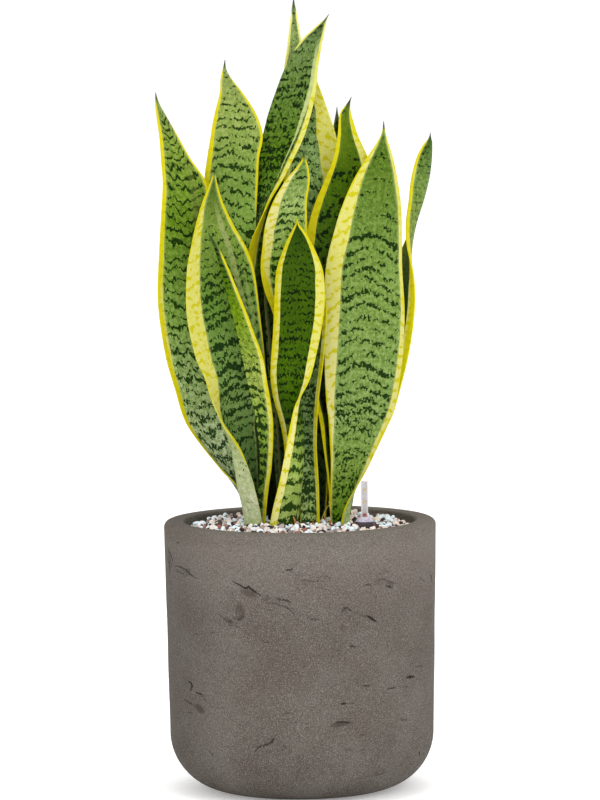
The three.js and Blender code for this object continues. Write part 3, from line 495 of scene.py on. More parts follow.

# How each leaf is coloured. "greens" are the blade's colours from the ground up, at their heights, and
# "outer" those of its outer face, where it differs. The dark greens low on the blades and on leaves that
# stand behind others are painted shade of the gaps between leaves. A streak runs along the blade: its
# colour, and rows of height, place from the midrib, half width and strength.
LOOKS = {
    "leaf_left_outer": {
        "greens": [(240, (105, 120, 80)), (300, (215, 235, 185)), (350, (165, 190, 125)),
                   (430, (130, 165, 75)), (520, (100, 135, 30)), (600, (120, 145, 55)),
                   (641, (115, 135, 75))],
        "bands": [[240, 12, 0.6], [300, 14, 0.95], [360, 12, 0.88], [450, 11, 0.65], [520, 11, 0.7],
                  [570, 9, 0.75], [610, 6.5, 0.7], [640, 4, 0.7]],
        "arch": -8, "slant": 2, "zigzag": 2.3, "patchy": 0.4, "wave": 0.14,
        "deep": [[240, 1, 1], [330, 0.6, 0.4], [430, 0.3, 0.4]],
        "cross": [[240, 1.3], [380, 1.5], [450, 2.2]], "ragged": [[240, 2.4], [380, 2.2], [450, 1.5]],
        "streaks": [((126, 134, 66), [(470, 10, 2, 0), (500, 10, 3, 0.2), (540, 9, 4, 0.35),
                                      (570, 8, 3, 0.3), (585, 6, 2, 0)])],
    },
    "leaf_left_back": {
        "greens": [(240, (90, 110, 60)), (420, (70, 100, 60)), (500, (160, 200, 95)),
                   (560, (125, 155, 70)), (620, (145, 165, 85)), (670, (135, 150, 85))],
        "bands": [[240, 12, 0.6], [480, 11, 0.75], [540, 12, 0.82], [600, 10, 0.7], [630, 6, 0.6],
                  [668, 4, 0.55]],
        "arch": [[480, 12], [560, 8], [600, 2], [640, -3]], "ragged": 2.3, "zigzag": 1.8, "patchy": 1.2,
        "deep": [[240, 0.9, 0.2], [560, 0.7, 0.1]], "mottle": 0.55, "wave": 0.15, "cross": 1.7,
        "clump": (0.42, 0.36),
    },
    "leaf_left_front": {
        "greens": [(240, (60, 85, 40)), (300, (95, 130, 65)), (360, (125, 155, 85)),
                   (450, (100, 135, 50)), (520, (120, 145, 60)), (573, (35, 70, 0))],
        "outer": [(240, (168, 184, 122)), (256, (198, 207, 166)), (300, (190, 201, 152)),
                  (345, (140, 158, 90)), (380, (96, 120, 60))],
        "bands": [[240, 9, 0.6], [290, 10, 0.6], [340, 11, 0.95], [370, 10, 1.05], [430, 10, 1.05],
                  [470, 9, 0.95], [500, 8.5, 0.6], [530, 8, 0.3], [570, 7, 0.0]],
        "arch": 4, "slant": -24, "zigzag": 2.0, "border": 0.3, "outer_bands": 0.26, "patchy": 0.8,
        "margin_light_and_shade": 0.92, "mottle": 0.45, "cross": 1.6,
        "streaks": [((144, 152, 94), [(360, 22, 3, 0), (400, 24, 3.5, 0.4), (443, 21.5, 3, 0.5),
                                      (480, 14, 3, 0.65), (523, 6, 2.8, 0.7), (545, 2, 1.5, 0)]),
                    ((138, 154, 88), [(360, 26, 2, 0), (400, 28, 2, 0.3), (443, 28, 2.4, 0.55),
                                      (465, 24, 2.2, 0.55), (485, 20, 1.6, 0)])],
    },
    "leaf_front_small": {
        "greens": [(240, (110, 140, 60)), (290, (85, 115, 30)), (340, (130, 160, 60)),
                   (380, (140, 160, 70)), (436, (105, 135, 15)), (478, (60, 95, 0)), (514, (50, 75, 30))],
        "bands": [[240, 9, 1.1], [330, 9, 1.1], [400, 7.5, 0.75], [430, 7, 0.5], [456, 6, 0.4],
                  [470, 5, 0.95]],
        "arch": 1, "slant": 4, "ragged": 2.0, "border": 0.3,
    },
    "leaf_back_top": {
        "greens": [(240, (50, 80, 35)), (600, (60, 90, 45)), (690, (140, 165, 95)), (727, (60, 80, 50))],
        "bands": [[240, 10, 0.8], [600, 9, 0.7], [690, 7, 0.6], [727, 6, 0.6]],
        "deep": -0.4, "cream": 0.4, "margin_light_and_shade": [[240, 0.4], [480, 0.4], [600, 1.2]],
    },
    "leaf_centre_top": {
        # Painted shade: nearly black low down, where the blade lies behind the front leaves
        "greens": [(240, (15, 20, 10)), (465, (50, 70, 10)), (500, (85, 120, 0)), (540, (100, 135, 45)),
                   (580, (80, 115, 15)), (630, (90, 120, 45)), (680, (105, 130, 70)), (711, (55, 80, 50))],
        "bands": [[240, 10, 0.6], [480, 10, 0.95], [535, 10, 1.2], [560, 9.5, 1.1], [620, 9, 1.0],
                  [650, 9, 0.85], [688, 7, 0.5], [698, 6, 1.2]],
        "arch": 3, "ragged": 3.0, "margin_painted_glow": 0.24, "cross": 1.1, "clump": (0.42, 0.36), "mottle": 0.75,
        "deep": [[240, 1], [530, 0.8], [545, 0.4], [570, -0.35]],
        "margin_light_and_shade": [[240, 1], [540, 0.95], [600, 0.88]],
        "streaks": [((188, 198, 128), [(555, 11, 1, 0), (570, 11, 1, 0.6), (595, 11.6, 1.1, 0.8),
                                       (615, 12.6, 2.0, 0.8), (633, 13.8, 3.0, 0.85),
                                       (650, 14, 2.8, 0.85), (670, 10.5, 2, 0.7), (690, 6, 1, 0)])],
    },
    "leaf_centre_back": {
        "greens": [(240, (40, 60, 30)), (480, (85, 110, 55)), (560, (155, 190, 110)),
                   (640, (100, 125, 60)), (672, (80, 100, 50))],
        "bands": [[240, 11, 0.8], [480, 11, 0.85], [560, 11, 0.75], [640, 9, 1.0]],
        "slant": 14, "margin_light_and_shade": 1.15,
    },
    "leaf_centre_mid": {
        "greens": [(240, (40, 60, 25)), (420, (100, 130, 60)), (480, (135, 170, 60)),
                   (540, (140, 165, 90)), (587, (75, 110, 25))],
        "bands": [[240, 9, 0.9], [440, 8, 1.0], [490, 8, 1.05], [540, 7, 0.7], [575, 5.6, 0.45]],
        "slant": -7, "ragged": 1.8, "zigzag": 1.5, "cream": [[480, 0.3], [530, 0.9]],
        "cross": 1.7, "margin_light_and_shade": 0.95, "deep": [[240, 0.9], [440, 0.8], [475, 0.4], [505, 0]],
    },
    "leaf_front_centre": {
        "greens": [(240, (165, 185, 105)), (300, (175, 200, 100)), (345, (60, 95, 5)), (372, (70, 105, 0)),
                   (440, (60, 90, 0)), (490, (60, 90, 5)), (526, (25, 55, 0))],
        "bands": [[240, 13, 1.0], [300, 12, 0.9], [345, 9, 0.95], [380, 8, 0.85], [440, 7.4, 0.9],
                  [490, 6, 0.7], [520, 6, 0.4]],
        "mottle": 0.4, "border": 0, "dark_tip": False, "patchy": 1.0,
        "ragged": [[240, 1.7], [330, 1.7], [370, 2.6]], "cross": [[240, 1.7], [330, 1.7], [370, 1.0]],
        "margin_light_and_shade": [[240, 1.3, 1.3], [385, 1.0, 1.1], [410, 0.84, 1.0]], "deep": [[240, 0, 0], [390, 0.15, 0]],
        "cream": [[240, 0.9, 0.9], [385, 0.4, 0.5], [410, 0, 0.1]],
    },
    "leaf_front_right": {
        "greens": [(240, (160, 185, 105)), (320, (105, 135, 75)), (420, (90, 115, 50)),
                   (506, (95, 125, 50))],
        "bands": [[240, 9, 1.3], [320, 9, 1.08], [400, 9, 1.0], [500, 7, 0.6]],
        "mottle": 1.0, "ragged": 3.0, "cross": 1.0, "border": 0.05,
    },
    "leaf_right_front": {
        "greens": [(240, (100, 145, 5)), (290, (120, 150, 60)), (340, (125, 155, 80)),
                   (460, (120, 150, 70)), (530, (100, 130, 50)), (580, (85, 115, 30)), (613, (80, 110, 45))],
        "bands": [[240, 8, 1.1], [300, 8, 0.72], [345, 9, 0.95], [380, 10, 0.74], [460, 11, 0.74],
                  [480, 12, 0.7], [492, 12, 0.55], [496, 12, 1.25], [499.5, 12, 1.25], [503, 12, 0.55],
                  [530, 12, 0.62], [570, 10, 0.4], [600, 6, 0.5]],
        "arch": [[300, 6], [380, 11], [420, 19], [470, 18], [505, 13], [530, 6]],
        "ragged": [[240, 3.0], [350, 2.6], [400, 2.1]], "zigzag": 1.0, "border": 0.35,
        "cream": [[340, 0.9, 0.4], [420, 0.5, 0.5], [480, 0.2, 0.2]],
        "clump": (0.4, 0.34), "deep": [[240, 0, 0], [400, 0, -0.2], [450, 0, -0.25]],
        "margin_light_and_shade": [[240, 0.95], [420, 0.97], [500, 1]], "outer_bands": 0,
        "cross": [[240, 0.3], [330, 0.6], [380, 1.5], [495, 1.5], [506, 1.0]],
        "outer": [(240, (176, 200, 130)), (300, (150, 180, 100)), (420, (110, 140, 70))],
    },
    "leaf_right_mid": {
        # Painted shade: dark low down, where the blade lies behind the front leaves
        "greens": [(240, (25, 45, 10)), (420, (40, 60, 15)), (500, (75, 110, 20)), (560, (70, 100, 0)),
                   (620, (90, 115, 20)), (635, (50, 65, 35))],
        "bands": [[240, 10, 0.9], [480, 10, 1.05], [540, 9, 0.9], [580, 8, 0.5], [620, 6, 0.35]],
        "ragged": 2.0, "mottle": 0.5, "deep": [[240, 0.8, 0]], "border": 0.1, "cross": 0.3, "margin_painted_glow": 0.22,
        "clump": (0.3, 0.3), "patchy": 3.2, "margin_light_and_shade": [[420, 1.2], [470, 0.75], [560, 0.72], [600, 0.85]],
    },
    "leaf_right_back": {
        # Painted shade: dark all over, as the leaf stands behind others
        "greens": [(240, (40, 60, 25)), (600, (40, 60, 25)), (625, (45, 60, 40))],
        "bands": [[240, 9, 0.8], [600, 8, 0.8]],
    },
    "leaf_right_outer": {
        "greens": [(240, (60, 85, 40)), (440, (60, 90, 50)), (500, (120, 140, 60)),
                   (560, (105, 135, 60)), (602, (50, 85, 5))],
        "bands": [[240, 9, 0.6], [480, 8, 0.2], [505, 8, 0.25], [540, 7, 0.62], [575, 6, 0.5],
                  [595, 5, 0.9]],
        "arch": 0, "slant": -3, "zigzag": 1.3, "margin_painted_glow": 0.6, "deep": [[500, 1], [530, 0.3], [602, 0]],
    },
    "leaf_rear_left": {
        "greens": [(240, (86, 108, 58)), (400, (112, 142, 74)), (520, (120, 152, 74)), (577, (92, 120, 56))],
        "bands": [[240, 12, 0.6], [400, 11, 0.9], [520, 9, 0.8], [577, 5, 0.8]],
        "arch": 6, "zigzag": 1.6,
    },
    "leaf_rear_centre": {
        "greens": [(240, (80, 104, 50)), (400, (104, 136, 64)), (560, (118, 150, 76)), (628, (84, 112, 52))],
        "bands": [[240, 12, 0.7], [400, 10, 0.95], [560, 9, 0.8], [628, 5, 0.8]],
        "arch": 7, "slant": 2, "ragged": 2.8,
    },
    "leaf_rear_right": {
        "greens": [(240, (90, 112, 60)), (400, (116, 146, 78)), (500, (112, 146, 70)), (563, (84, 112, 50))],
        "bands": [[240, 12, 0.6], [400, 10, 0.85], [500, 9, 0.8], [563, 5, 0.8]],
        "arch": 5, "slant": -3, "zigzag": 1.5,
    },
}

# Margin colours
DEEP_YELLOW = (200, 190, 20)
PALE_YELLOW = (202, 199, 92)
CREAM = (212, 207, 136)
FLECK_YELLOW = (188, 180, 2)
BORDER = (178, 190, 118)
NEEDLE = (54, 70, 40)

# How much of a leaf's green its ground, its paler and deeper patches and its bands have, as red, green, blue
GROUND = (0.66, 0.7, 0.52)
PALER = (1.34, 1.18, 1.5)
DEEPER = (0.42, 0.5, 0.3)
BAND = (0.05, 0.1, 0.04)


def linear(color):
    """A colour given as 0 to 255 on screen, as Blender's linear values."""
    parts = [value / 255 for value in color]
    return [p / 12.92 if p <= 0.04045 else ((p + 0.055) / 1.055) ** 2.4 for p in parts] + [1.0]


class Graph:
    """A material's node tree, with short calls for the nodes that the finishes use."""

    def __init__(self, name):
        self.material = bpy.data.materials.new(name)
        self.material.use_nodes = True
        self.tree = self.material.node_tree
        self.shader = self.tree.nodes["Principled BSDF"]

    def put(self, socket, value):
        if isinstance(value, bpy.types.NodeSocket):
            self.tree.links.new(value, socket)
        else:
            socket.default_value = value

    def node(self, kind, **settings):
        made = self.tree.nodes.new(kind)
        for key, value in settings.items():
            setattr(made, key, value)
        return made

    def attribute(self, name, output="Fac"):
        return self.node("ShaderNodeAttribute", attribute_name=name).outputs[output]

    def math(self, operation, *values, clamp=False):
        made = self.node("ShaderNodeMath", operation=operation, use_clamp=clamp)
        for socket, value in zip(made.inputs, values):
            self.put(socket, value)
        return made.outputs[0]

    def plus(self, first, second):
        return self.math("ADD", first, second)

    def less(self, first, second, clamp=False):
        return self.math("SUBTRACT", first, second, clamp=clamp)

    def times(self, first, second, clamp=False):
        return self.math("MULTIPLY", first, second, clamp=clamp)

    def shifted(self, value, *shifts):
        """A value plus others, each of them given with its middle and how much it counts."""
        for other, middle, size in shifts:
            value = self.plus(value, self.times(self.less(other, middle), size))
        return value

    def range(self, value, low, high, start=0.0, end=1.0):
        """A smooth step from one end value to the other, between two limits."""
        made = self.node("ShaderNodeMapRange", interpolation_type="SMOOTHSTEP")
        for key, given in (("Value", value), ("From Min", low), ("From Max", high), ("To Min", start),
                           ("To Max", end)):
            self.put(made.inputs[key], given)
        return made.outputs["Result"]

    def mix(self, factor, first, second):
        made = self.node("ShaderNodeMix", data_type="RGBA")
        for number, value in ((0, factor), (6, first), (7, second)):
            self.put(made.inputs[number], value)
        return made.outputs[2]

    def cover(self, tone, color, value, low, high, most=1.0):
        """A tone covered with a colour as a value goes from one limit to the other."""
        return self.mix(self.range(value, low, high, 0.0, most), tone, color)

    def scaled(self, vector, scale):
        made = self.node("ShaderNodeVectorMath", operation="MULTIPLY")
        self.put(made.inputs[0], vector)
        self.put(made.inputs[1], scale)
        return made.outputs[0]

    def millimetres(self):
        """The point's place in millimetres."""
        return self.scaled(self.node("ShaderNodeTexCoord").outputs["Object"], (1 / MM, 1 / MM, 1 / MM))

    def parts(self, vector):
        split = self.node("ShaderNodeSeparateXYZ")
        self.put(split.inputs[0], vector)
        return split.outputs

    def noise(self, vector, scale=1.0, detail=2.0, roughness=0.5):
        made = self.node("ShaderNodeTexNoise", noise_dimensions="3D")
        settings = {"Vector": vector, "Scale": scale, "Detail": detail, "Roughness": roughness}
        for key, value in settings.items():
            self.put(made.inputs[key], value)
        return made.outputs["Fac"]

    def ramp(self, factor, stops):
        """Colours given as on screen, at their places from 0 to 1."""
        made = self.node("ShaderNodeValToRGB")
        elements = made.color_ramp.elements
        while len(elements) < len(stops):
            elements.new(0.5)
        for element, (position, color) in zip(elements, stops):
            element.position = position
            element.color = linear(color)
        self.put(made.inputs["Fac"], factor)
        return made.outputs["Color"]

    def bump(self, height, distance, strength=1.0):
        made = self.node("ShaderNodeBump")
        for key, value in (("Height", height), ("Distance", distance), ("Strength", strength)):
            self.put(made.inputs[key], value)
        self.put(self.shader.inputs["Normal"], made.outputs["Normal"])

    def set(self, **values):
        for name, value in values.items():
            self.put(self.shader.inputs[name.replace("_", " ")], value)


def make_mesh(name, vertices, faces, smooth=True):
    """An object from points in millimetres and faces."""
    mesh = bpy.data.meshes.new(name)
    mesh.from_pydata((np.array(vertices) * MM).tolist(), [], faces)
    mesh.update()
    if smooth:
        mesh.shade_smooth()
    piece = bpy.data.objects.new(name, mesh)
    bpy.context.scene.collection.objects.link(piece)
    return piece


def dress(piece, material, body, node=None):
    """Gives a piece its material and body, and hides the CAD node that it stands for, if there is one."""
    piece.data.materials.append(material)
    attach(piece, body)
    if node:
        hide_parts(node)


def add_field(piece, name, values, kind="FLOAT", entry="value"):
    """Gives each point of a piece a value for its material to read."""
    layer = piece.data.attributes.new(name, kind, "POINT")
    layer.data.foreach_set(entry, np.ascontiguousarray(values, dtype=np.float32).ravel())


def ring_faces(counts):
    """Faces between rings of points that follow each other, closed around. A ring can be a single point."""
    faces = []
    first = 0
    for count, above in zip(counts, counts[1:]):
        upper = first + count
        steps = max(count, above)
        for k in range(steps if steps > 1 else 0):
            after = (k + 1) % steps
            lower_side = [first] if count == 1 else [first + k, first + after]
            upper_side = [upper] if above == 1 else [upper + after, upper + k]
            faces.append(lower_side + upper_side)
        first = upper
    return faces


def rod_mesh(name, vertices, rows, smooth=True):
    """A closed body from rows of points around it, first row to last."""
    ring = len(vertices) // rows
    faces = ring_faces([ring] * rows)
    faces += [list(range(ring))[::-1], list(range(len(vertices) - ring, len(vertices)))]
    return make_mesh(name, vertices, faces, smooth)


def turned_mesh(name, profile, steps, x=0.0, y=0.0):
    """A body turned round a vertical axis from a list of (radius, height) in millimetres."""
    vertices = []
    counts = []
    for radius, height in profile:
        counts.append(steps if radius > 0 else 1)
        for k in range(counts[-1]):
            angle = 2 * math.pi * k / steps
            vertices.append((x + radius * math.cos(angle), y + radius * math.sin(angle), height))
    return make_mesh(name, vertices, ring_faces(counts))


def arc(radius, height, size, start, end, steps):
    """Points of a profile along an arc, by its middle, its size and its first and last angle in degrees."""
    angles = [math.radians(start + (end - start) * k / steps) for k in range(steps + 1)]
    return [(radius + size * math.cos(a), height + size * math.sin(a)) for a in angles]


def straight(first, last, steps):
    """Points of a profile between two others."""
    return [(first[0] + (last[0] - first[0]) * k / steps, first[1] + (last[1] - first[1]) * k / steps)
            for k in range(1, steps)]


def interpolate(rows, height, column):
    """The straight-line value at a height between table rows. A number alone holds at every height."""
    if not isinstance(rows, list):
        rows = [[0, rows]]
    return np.interp(height, [row[0] for row in rows], [row[column] for row in rows])


def station_values(stations, heights):
    """Smooth values of x, y, half width, fold and facing at many heights."""
    table = np.array(stations, float)
    last = len(table) - 1
    slopes = [(table[min(i + 1, last)] - table[max(i - 1, 0)])
              / (table[min(i + 1, last), 0] - table[max(i - 1, 0), 0]) for i in range(last + 1)]
    index = np.clip(np.searchsorted(table[:, 0], heights, side="left") - 1, 0, last - 1)
    start, end = table[index], table[index + 1]
    span = (end[:, 0] - start[:, 0])[:, None]
    t = np.clip((heights - start[:, 0])[:, None] / span, 0, 1)
    slopes = np.array(slopes)
    rise = t * t * (3 - 2 * t)
    smooth = (start + (end - start) * rise
              + span * slopes[index] * t * (1 - t) ** 2 - span * slopes[index + 1] * t * t * (1 - t))
    return smooth[:, 1:]


def blade_section(values, across):
    """Points of the blade's middle surface and its inward directions, for rows by columns."""
    x, y, half_width, fold, facing = [values[:, i][:, None] for i in range(5)]
    half = np.radians(fold) / 2
    turn = np.radians(facing)
    step = across / FOLD_STEPS
    along = np.zeros(across.shape)
    inward = np.zeros(across.shape)
    for index in range(FOLD_STEPS):
        bend = half * np.sin((index + 0.5) * step * math.pi / 2)
        along += np.cos(bend) * step * half_width
        inward += np.sin(bend) * step * half_width
    bend = half * np.sin(across * math.pi / 2)

    def place(u, n):
        return np.stack([u * np.cos(turn) + n * np.sin(turn), u * np.sin(turn) - n * np.cos(turn)], -1)

    points = place(along, inward) + np.stack(np.broadcast_arrays(x, y), -1)
    return points, place(-np.sin(bend), np.cos(bend))


def leaf_piece(name, seed):
    """A leaf's blade from its root to its tip, with what its material reads at each point."""
    leaf = LEAVES[name]
    look = {**USUAL_LOOK, **LOOKS[name]}
    low, top = leaf["stations"][0][0], leaf["stations"][-1][0]
    levels = np.linspace(low, top, int((top - low) / ROW_HEIGHT) + 1)
    levels = np.unique(np.concatenate([levels, top - np.array(TIP_ROWS)]))
    levels = np.concatenate([[ROOT_LEVEL], levels])
    # Places across the blade, closer together towards its edges, first on its inner face, then on its outer
    turns = np.arange(-BLADE_COLUMNS, BLADE_COLUMNS + 1) / BLADE_COLUMNS
    inner = np.sin(turns * math.pi / 2)
    across = np.concatenate([inner, -inner[1:-1]])
    side = np.where(np.arange(len(across)) < len(inner), 1.0, -1.0)
    side, across, heights = np.broadcast_arrays(side, across, levels[:, None])
    values = station_values(leaf["stations"], np.maximum(levels, low))
    half_width = values[:, 2:3].copy()
    taper = TIP_SHARE + (1 - TIP_SHARE) * np.clip((top - levels[:, None]) / TIP_LENGTH, 0, 1)
    values[:, 2:3] *= taper
    points, normals = blade_section(values, across)
    # The blade is thickest at the midrib, with rounded edges and slight lengthwise ribs
    to_edge = half_width * taper * (1 - np.abs(across))
    middle = LEAF_MIDDLE + LEAF_SWELL * half_width - LEAF_EDGE
    thickness = (LEAF_EDGE + middle * (1 - across ** 2)) * taper
    rounding = np.sqrt(1 - (1 - np.clip(to_edge / (LEAF_EDGE * EDGE_SHARE * taper), 0, 1)) ** 2)
    width_place = across * half_width
    ribs = np.array([[noise.noise(Vector((x / RIB_WIDTH, level / RIB_LENGTH, seed))) for x in row]
                     for row, level in zip(width_place, levels)])
    ribs = RIB_DEPTH * ribs * np.clip(to_edge / RIB_FREE_EDGE, 0, 1)
    points = points + normals * (side * (thickness / 2 * rounding + ribs))[..., None]
    vertices = np.concatenate([points, heights[..., None]], -1).reshape(-1, 3)
    piece = rod_mesh(name + "_blade", vertices, len(levels))

    left, right = half_width * (1 + across), half_width * (1 - across)
    margin_left, margin_right = [interpolate(leaf["margins"], heights, column) for column in (1, 2)]
    # The bands are counted along the leaf, so that their spacing can change with height
    fine = np.arange(ROOT_LEVEL, top + 1, 1.0)
    counted = np.concatenate([[0], np.cumsum(1 / interpolate(look["bands"], fine, 1))])[:-1]
    arch = interpolate(look["arch"], heights, 1) * (1 - np.abs(across) ** ARCH_POWER)
    unlifted = heights - (arch - look["slant"] * across / 2)
    fields = {
        "inside": np.maximum(margin_left - left, margin_right - right),
        "edge": np.minimum(left, right),
        "phase": np.interp(unlifted, fine, counted),
        "strength": interpolate(look["bands"], unlifted, 2) * np.where(side > 0, 1, look["outer_bands"]),
        "side": side,
        "needle": np.clip((top - heights) / NEEDLE_LENGTH, 0, 1),
        "rise": (heights - low) / (top - low),
    }
    for key in POINT_LOOKS:
        on_left, on_right = [interpolate(look[key], heights, column) for column in (1, -1)]
        fields[key] = np.where(across < 0, on_left, on_right)
    for number, (_, rows) in enumerate(look["streaks"]):
        middle, breadth, reach = [interpolate(rows, heights, column) for column in (1, 2, 3)]
        fields[f"streak_{number}"] = (width_place - middle) / breadth
        fields[f"streak_{number}_strength"] = reach
    for key, field in fields.items():
        add_field(piece, key, field)
    place = np.stack([width_place, heights, side * FACE_APART + seed * LEAF_APART], -1)
    add_field(piece, "place", place, "FLOAT_VECTOR", "vector")
    dress(piece, leaf_material(name, look, low, top), BODY, name)


def leaf_material(name, look, low, high):
    """A leaf's greens with painted shade in the gaps, its streaks and dark cross bands, its yellow margin
    with painted light and shade, and its needle tip.
    """
    g = Graph(name)
    place = g.attribute("place", "Vector")
    strength = g.attribute("strength")
    edge = g.attribute("edge")
    inside = g.attribute("inside")

    def grain(width, length, **settings):
        return g.noise(g.scaled(place, (width, length, 1)), **settings)

    def greens(rows):
        stops = [((height - low) / (high - low), color) for height, color in rows]
        return g.ramp(g.attribute("rise"), stops)

    # The greens hold painted shade where a blade lies low in the gaps between leaves or behind others
    green = greens(look["greens"])
    if "outer" in look:
        green = g.mix(g.range(g.attribute("side"), 0.1, -0.1), green, greens(look["outer"]))
    ground, paler, deeper, dark_green = [g.scaled(green, share) for share in (GROUND, PALER, DEEPER, BAND)]
    # Mottled ground, with clouds and streaks that run along the leaf
    cloud = grain(0.10, 0.035, detail=3)
    mottle = grain(0.3, 0.27, detail=4, roughness=0.65)
    fine = grain(1.5, 1.2)
    tone = g.cover(ground, paler, mottle, 0.44, 0.58, look["mottle"])
    tone = g.cover(tone, paler, cloud, 0.5, 0.7, 0.4)
    tone = g.cover(tone, deeper, grain(0.8, 0.05, detail=3), 0.5, 0.34, 0.35)
    tone = g.cover(tone, deeper, fine, 0.48, 0.3, 0.4)
    tone = g.cover(tone, paler, fine, 0.54, 0.7, 0.35)
    clear = 1.0
    for number, (color, _) in enumerate(look["streaks"]):
        line = g.range(g.math("ABSOLUTE", g.attribute(f"streak_{number}")), 1.1, 0.6)
        line = g.times(line, g.attribute(f"streak_{number}_strength"))
        tone = g.mix(line, tone, linear(color))
        clear = g.less(clear, line, clamp=True)
    # Dark cross bands, which break up into blotches
    zigzag = grain(look["wave"], 0.05)
    moved = g.shifted(g.attribute("phase"), (grain(0.055, 0.02, detail=1), 0.5, 1.1),
                      (zigzag, 0.5, look["zigzag"]), (grain(0.9, 0.16), 0.5, 0.4))
    chance = g.node("ShaderNodeTexWhiteNoise", noise_dimensions="1D")
    g.put(chance.inputs["W"], g.math("FLOOR", moved))
    off_band = g.math("ABSOLUTE", g.less(g.math("FRACT", moved), 0.5))
    clump = grain(*look["clump"], detail=4, roughness=0.55)
    patch = grain(0.085, 0.07, roughness=0.6)
    dark = g.shifted(g.times(g.less(0.25, off_band), g.attribute("cross")),
                     (clump, 0.5, g.attribute("ragged")), (patch, 0.5, look["patchy"]),
                     (chance.outputs["Value"], 0.5, 0.25), (strength, 0.9, 0.6))
    band = g.times(g.range(dark, 0.065, 0.195), g.range(strength, 0.02, 0.2))
    tone = g.mix(g.times(band, clear), tone, dark_green)
    # Yellow margin, deep at the edge and pale inside, with flecks where the bands would run on
    border = g.shifted(inside, (zigzag, 0.5, 1.2))
    margin = g.range(border, -0.3, 0.3)
    tone = g.cover(tone, linear(BORDER), g.math("ABSOLUTE", border), 2.2, 0.3, look["border"])
    width = g.plus(edge, inside)
    pale = g.shifted(edge, (cloud, 0.5, 9), (g.attribute("deep"), 0.0, -8), (width, 4, 0.22))
    yellow = g.cover(linear(DEEP_YELLOW), linear(PALE_YELLOW), pale, 0.8, 2.6)
    mottled = g.times(g.range(mottle, 0.48, 0.62), g.range(pale, 1.5, 4, 0.0, 0.6))
    yellow = g.mix(mottled, yellow, linear(CREAM))
    yellow = g.mix(g.times(g.range(pale, 1, 3), g.attribute("cream")), yellow, linear(CREAM))
    fleck = g.less(grain(0.17, 0.2, detail=4, roughness=0.6), g.times(off_band, 0.45))
    fleck = g.times(g.range(fleck, 0.445, 0.48, 0.0, 0.95), g.range(width, 1.8, 3.8))
    yellow = g.mix(fleck, yellow, linear(FLECK_YELLOW))
    # Painted light and shade: the margin's yellow is made brighter or darker, leaf by leaf and by height
    margin_light_and_shade = g.node("ShaderNodeVectorMath", operation="SCALE")
    g.put(margin_light_and_shade.inputs[0], yellow)
    g.put(margin_light_and_shade.inputs["Scale"], g.attribute("margin_light_and_shade"))
    tone = g.mix(margin, tone, margin_light_and_shade.outputs[0])
    if look["dark_tip"]:
        tone = g.cover(tone, linear(NEEDLE), g.attribute("needle"), 0.7, 0.3)
    g.set(Base_Color=tone, Roughness=0.5, Specular_IOR_Level=0.05)
    # Painted light: the yellow margin of the inner face glows
    if look["margin_painted_glow"]:
        inner = g.times(margin, g.range(g.attribute("side"), -0.1, 0.1, 0.0, look["margin_painted_glow"]))
        g.set(Emission_Color=yellow, Emission_Strength=inner)
    g.bump(g.plus(grain(1.3, 0.03), g.times(mottle, 0.5)), 0.25 * MM, 0.5)
    return g.material
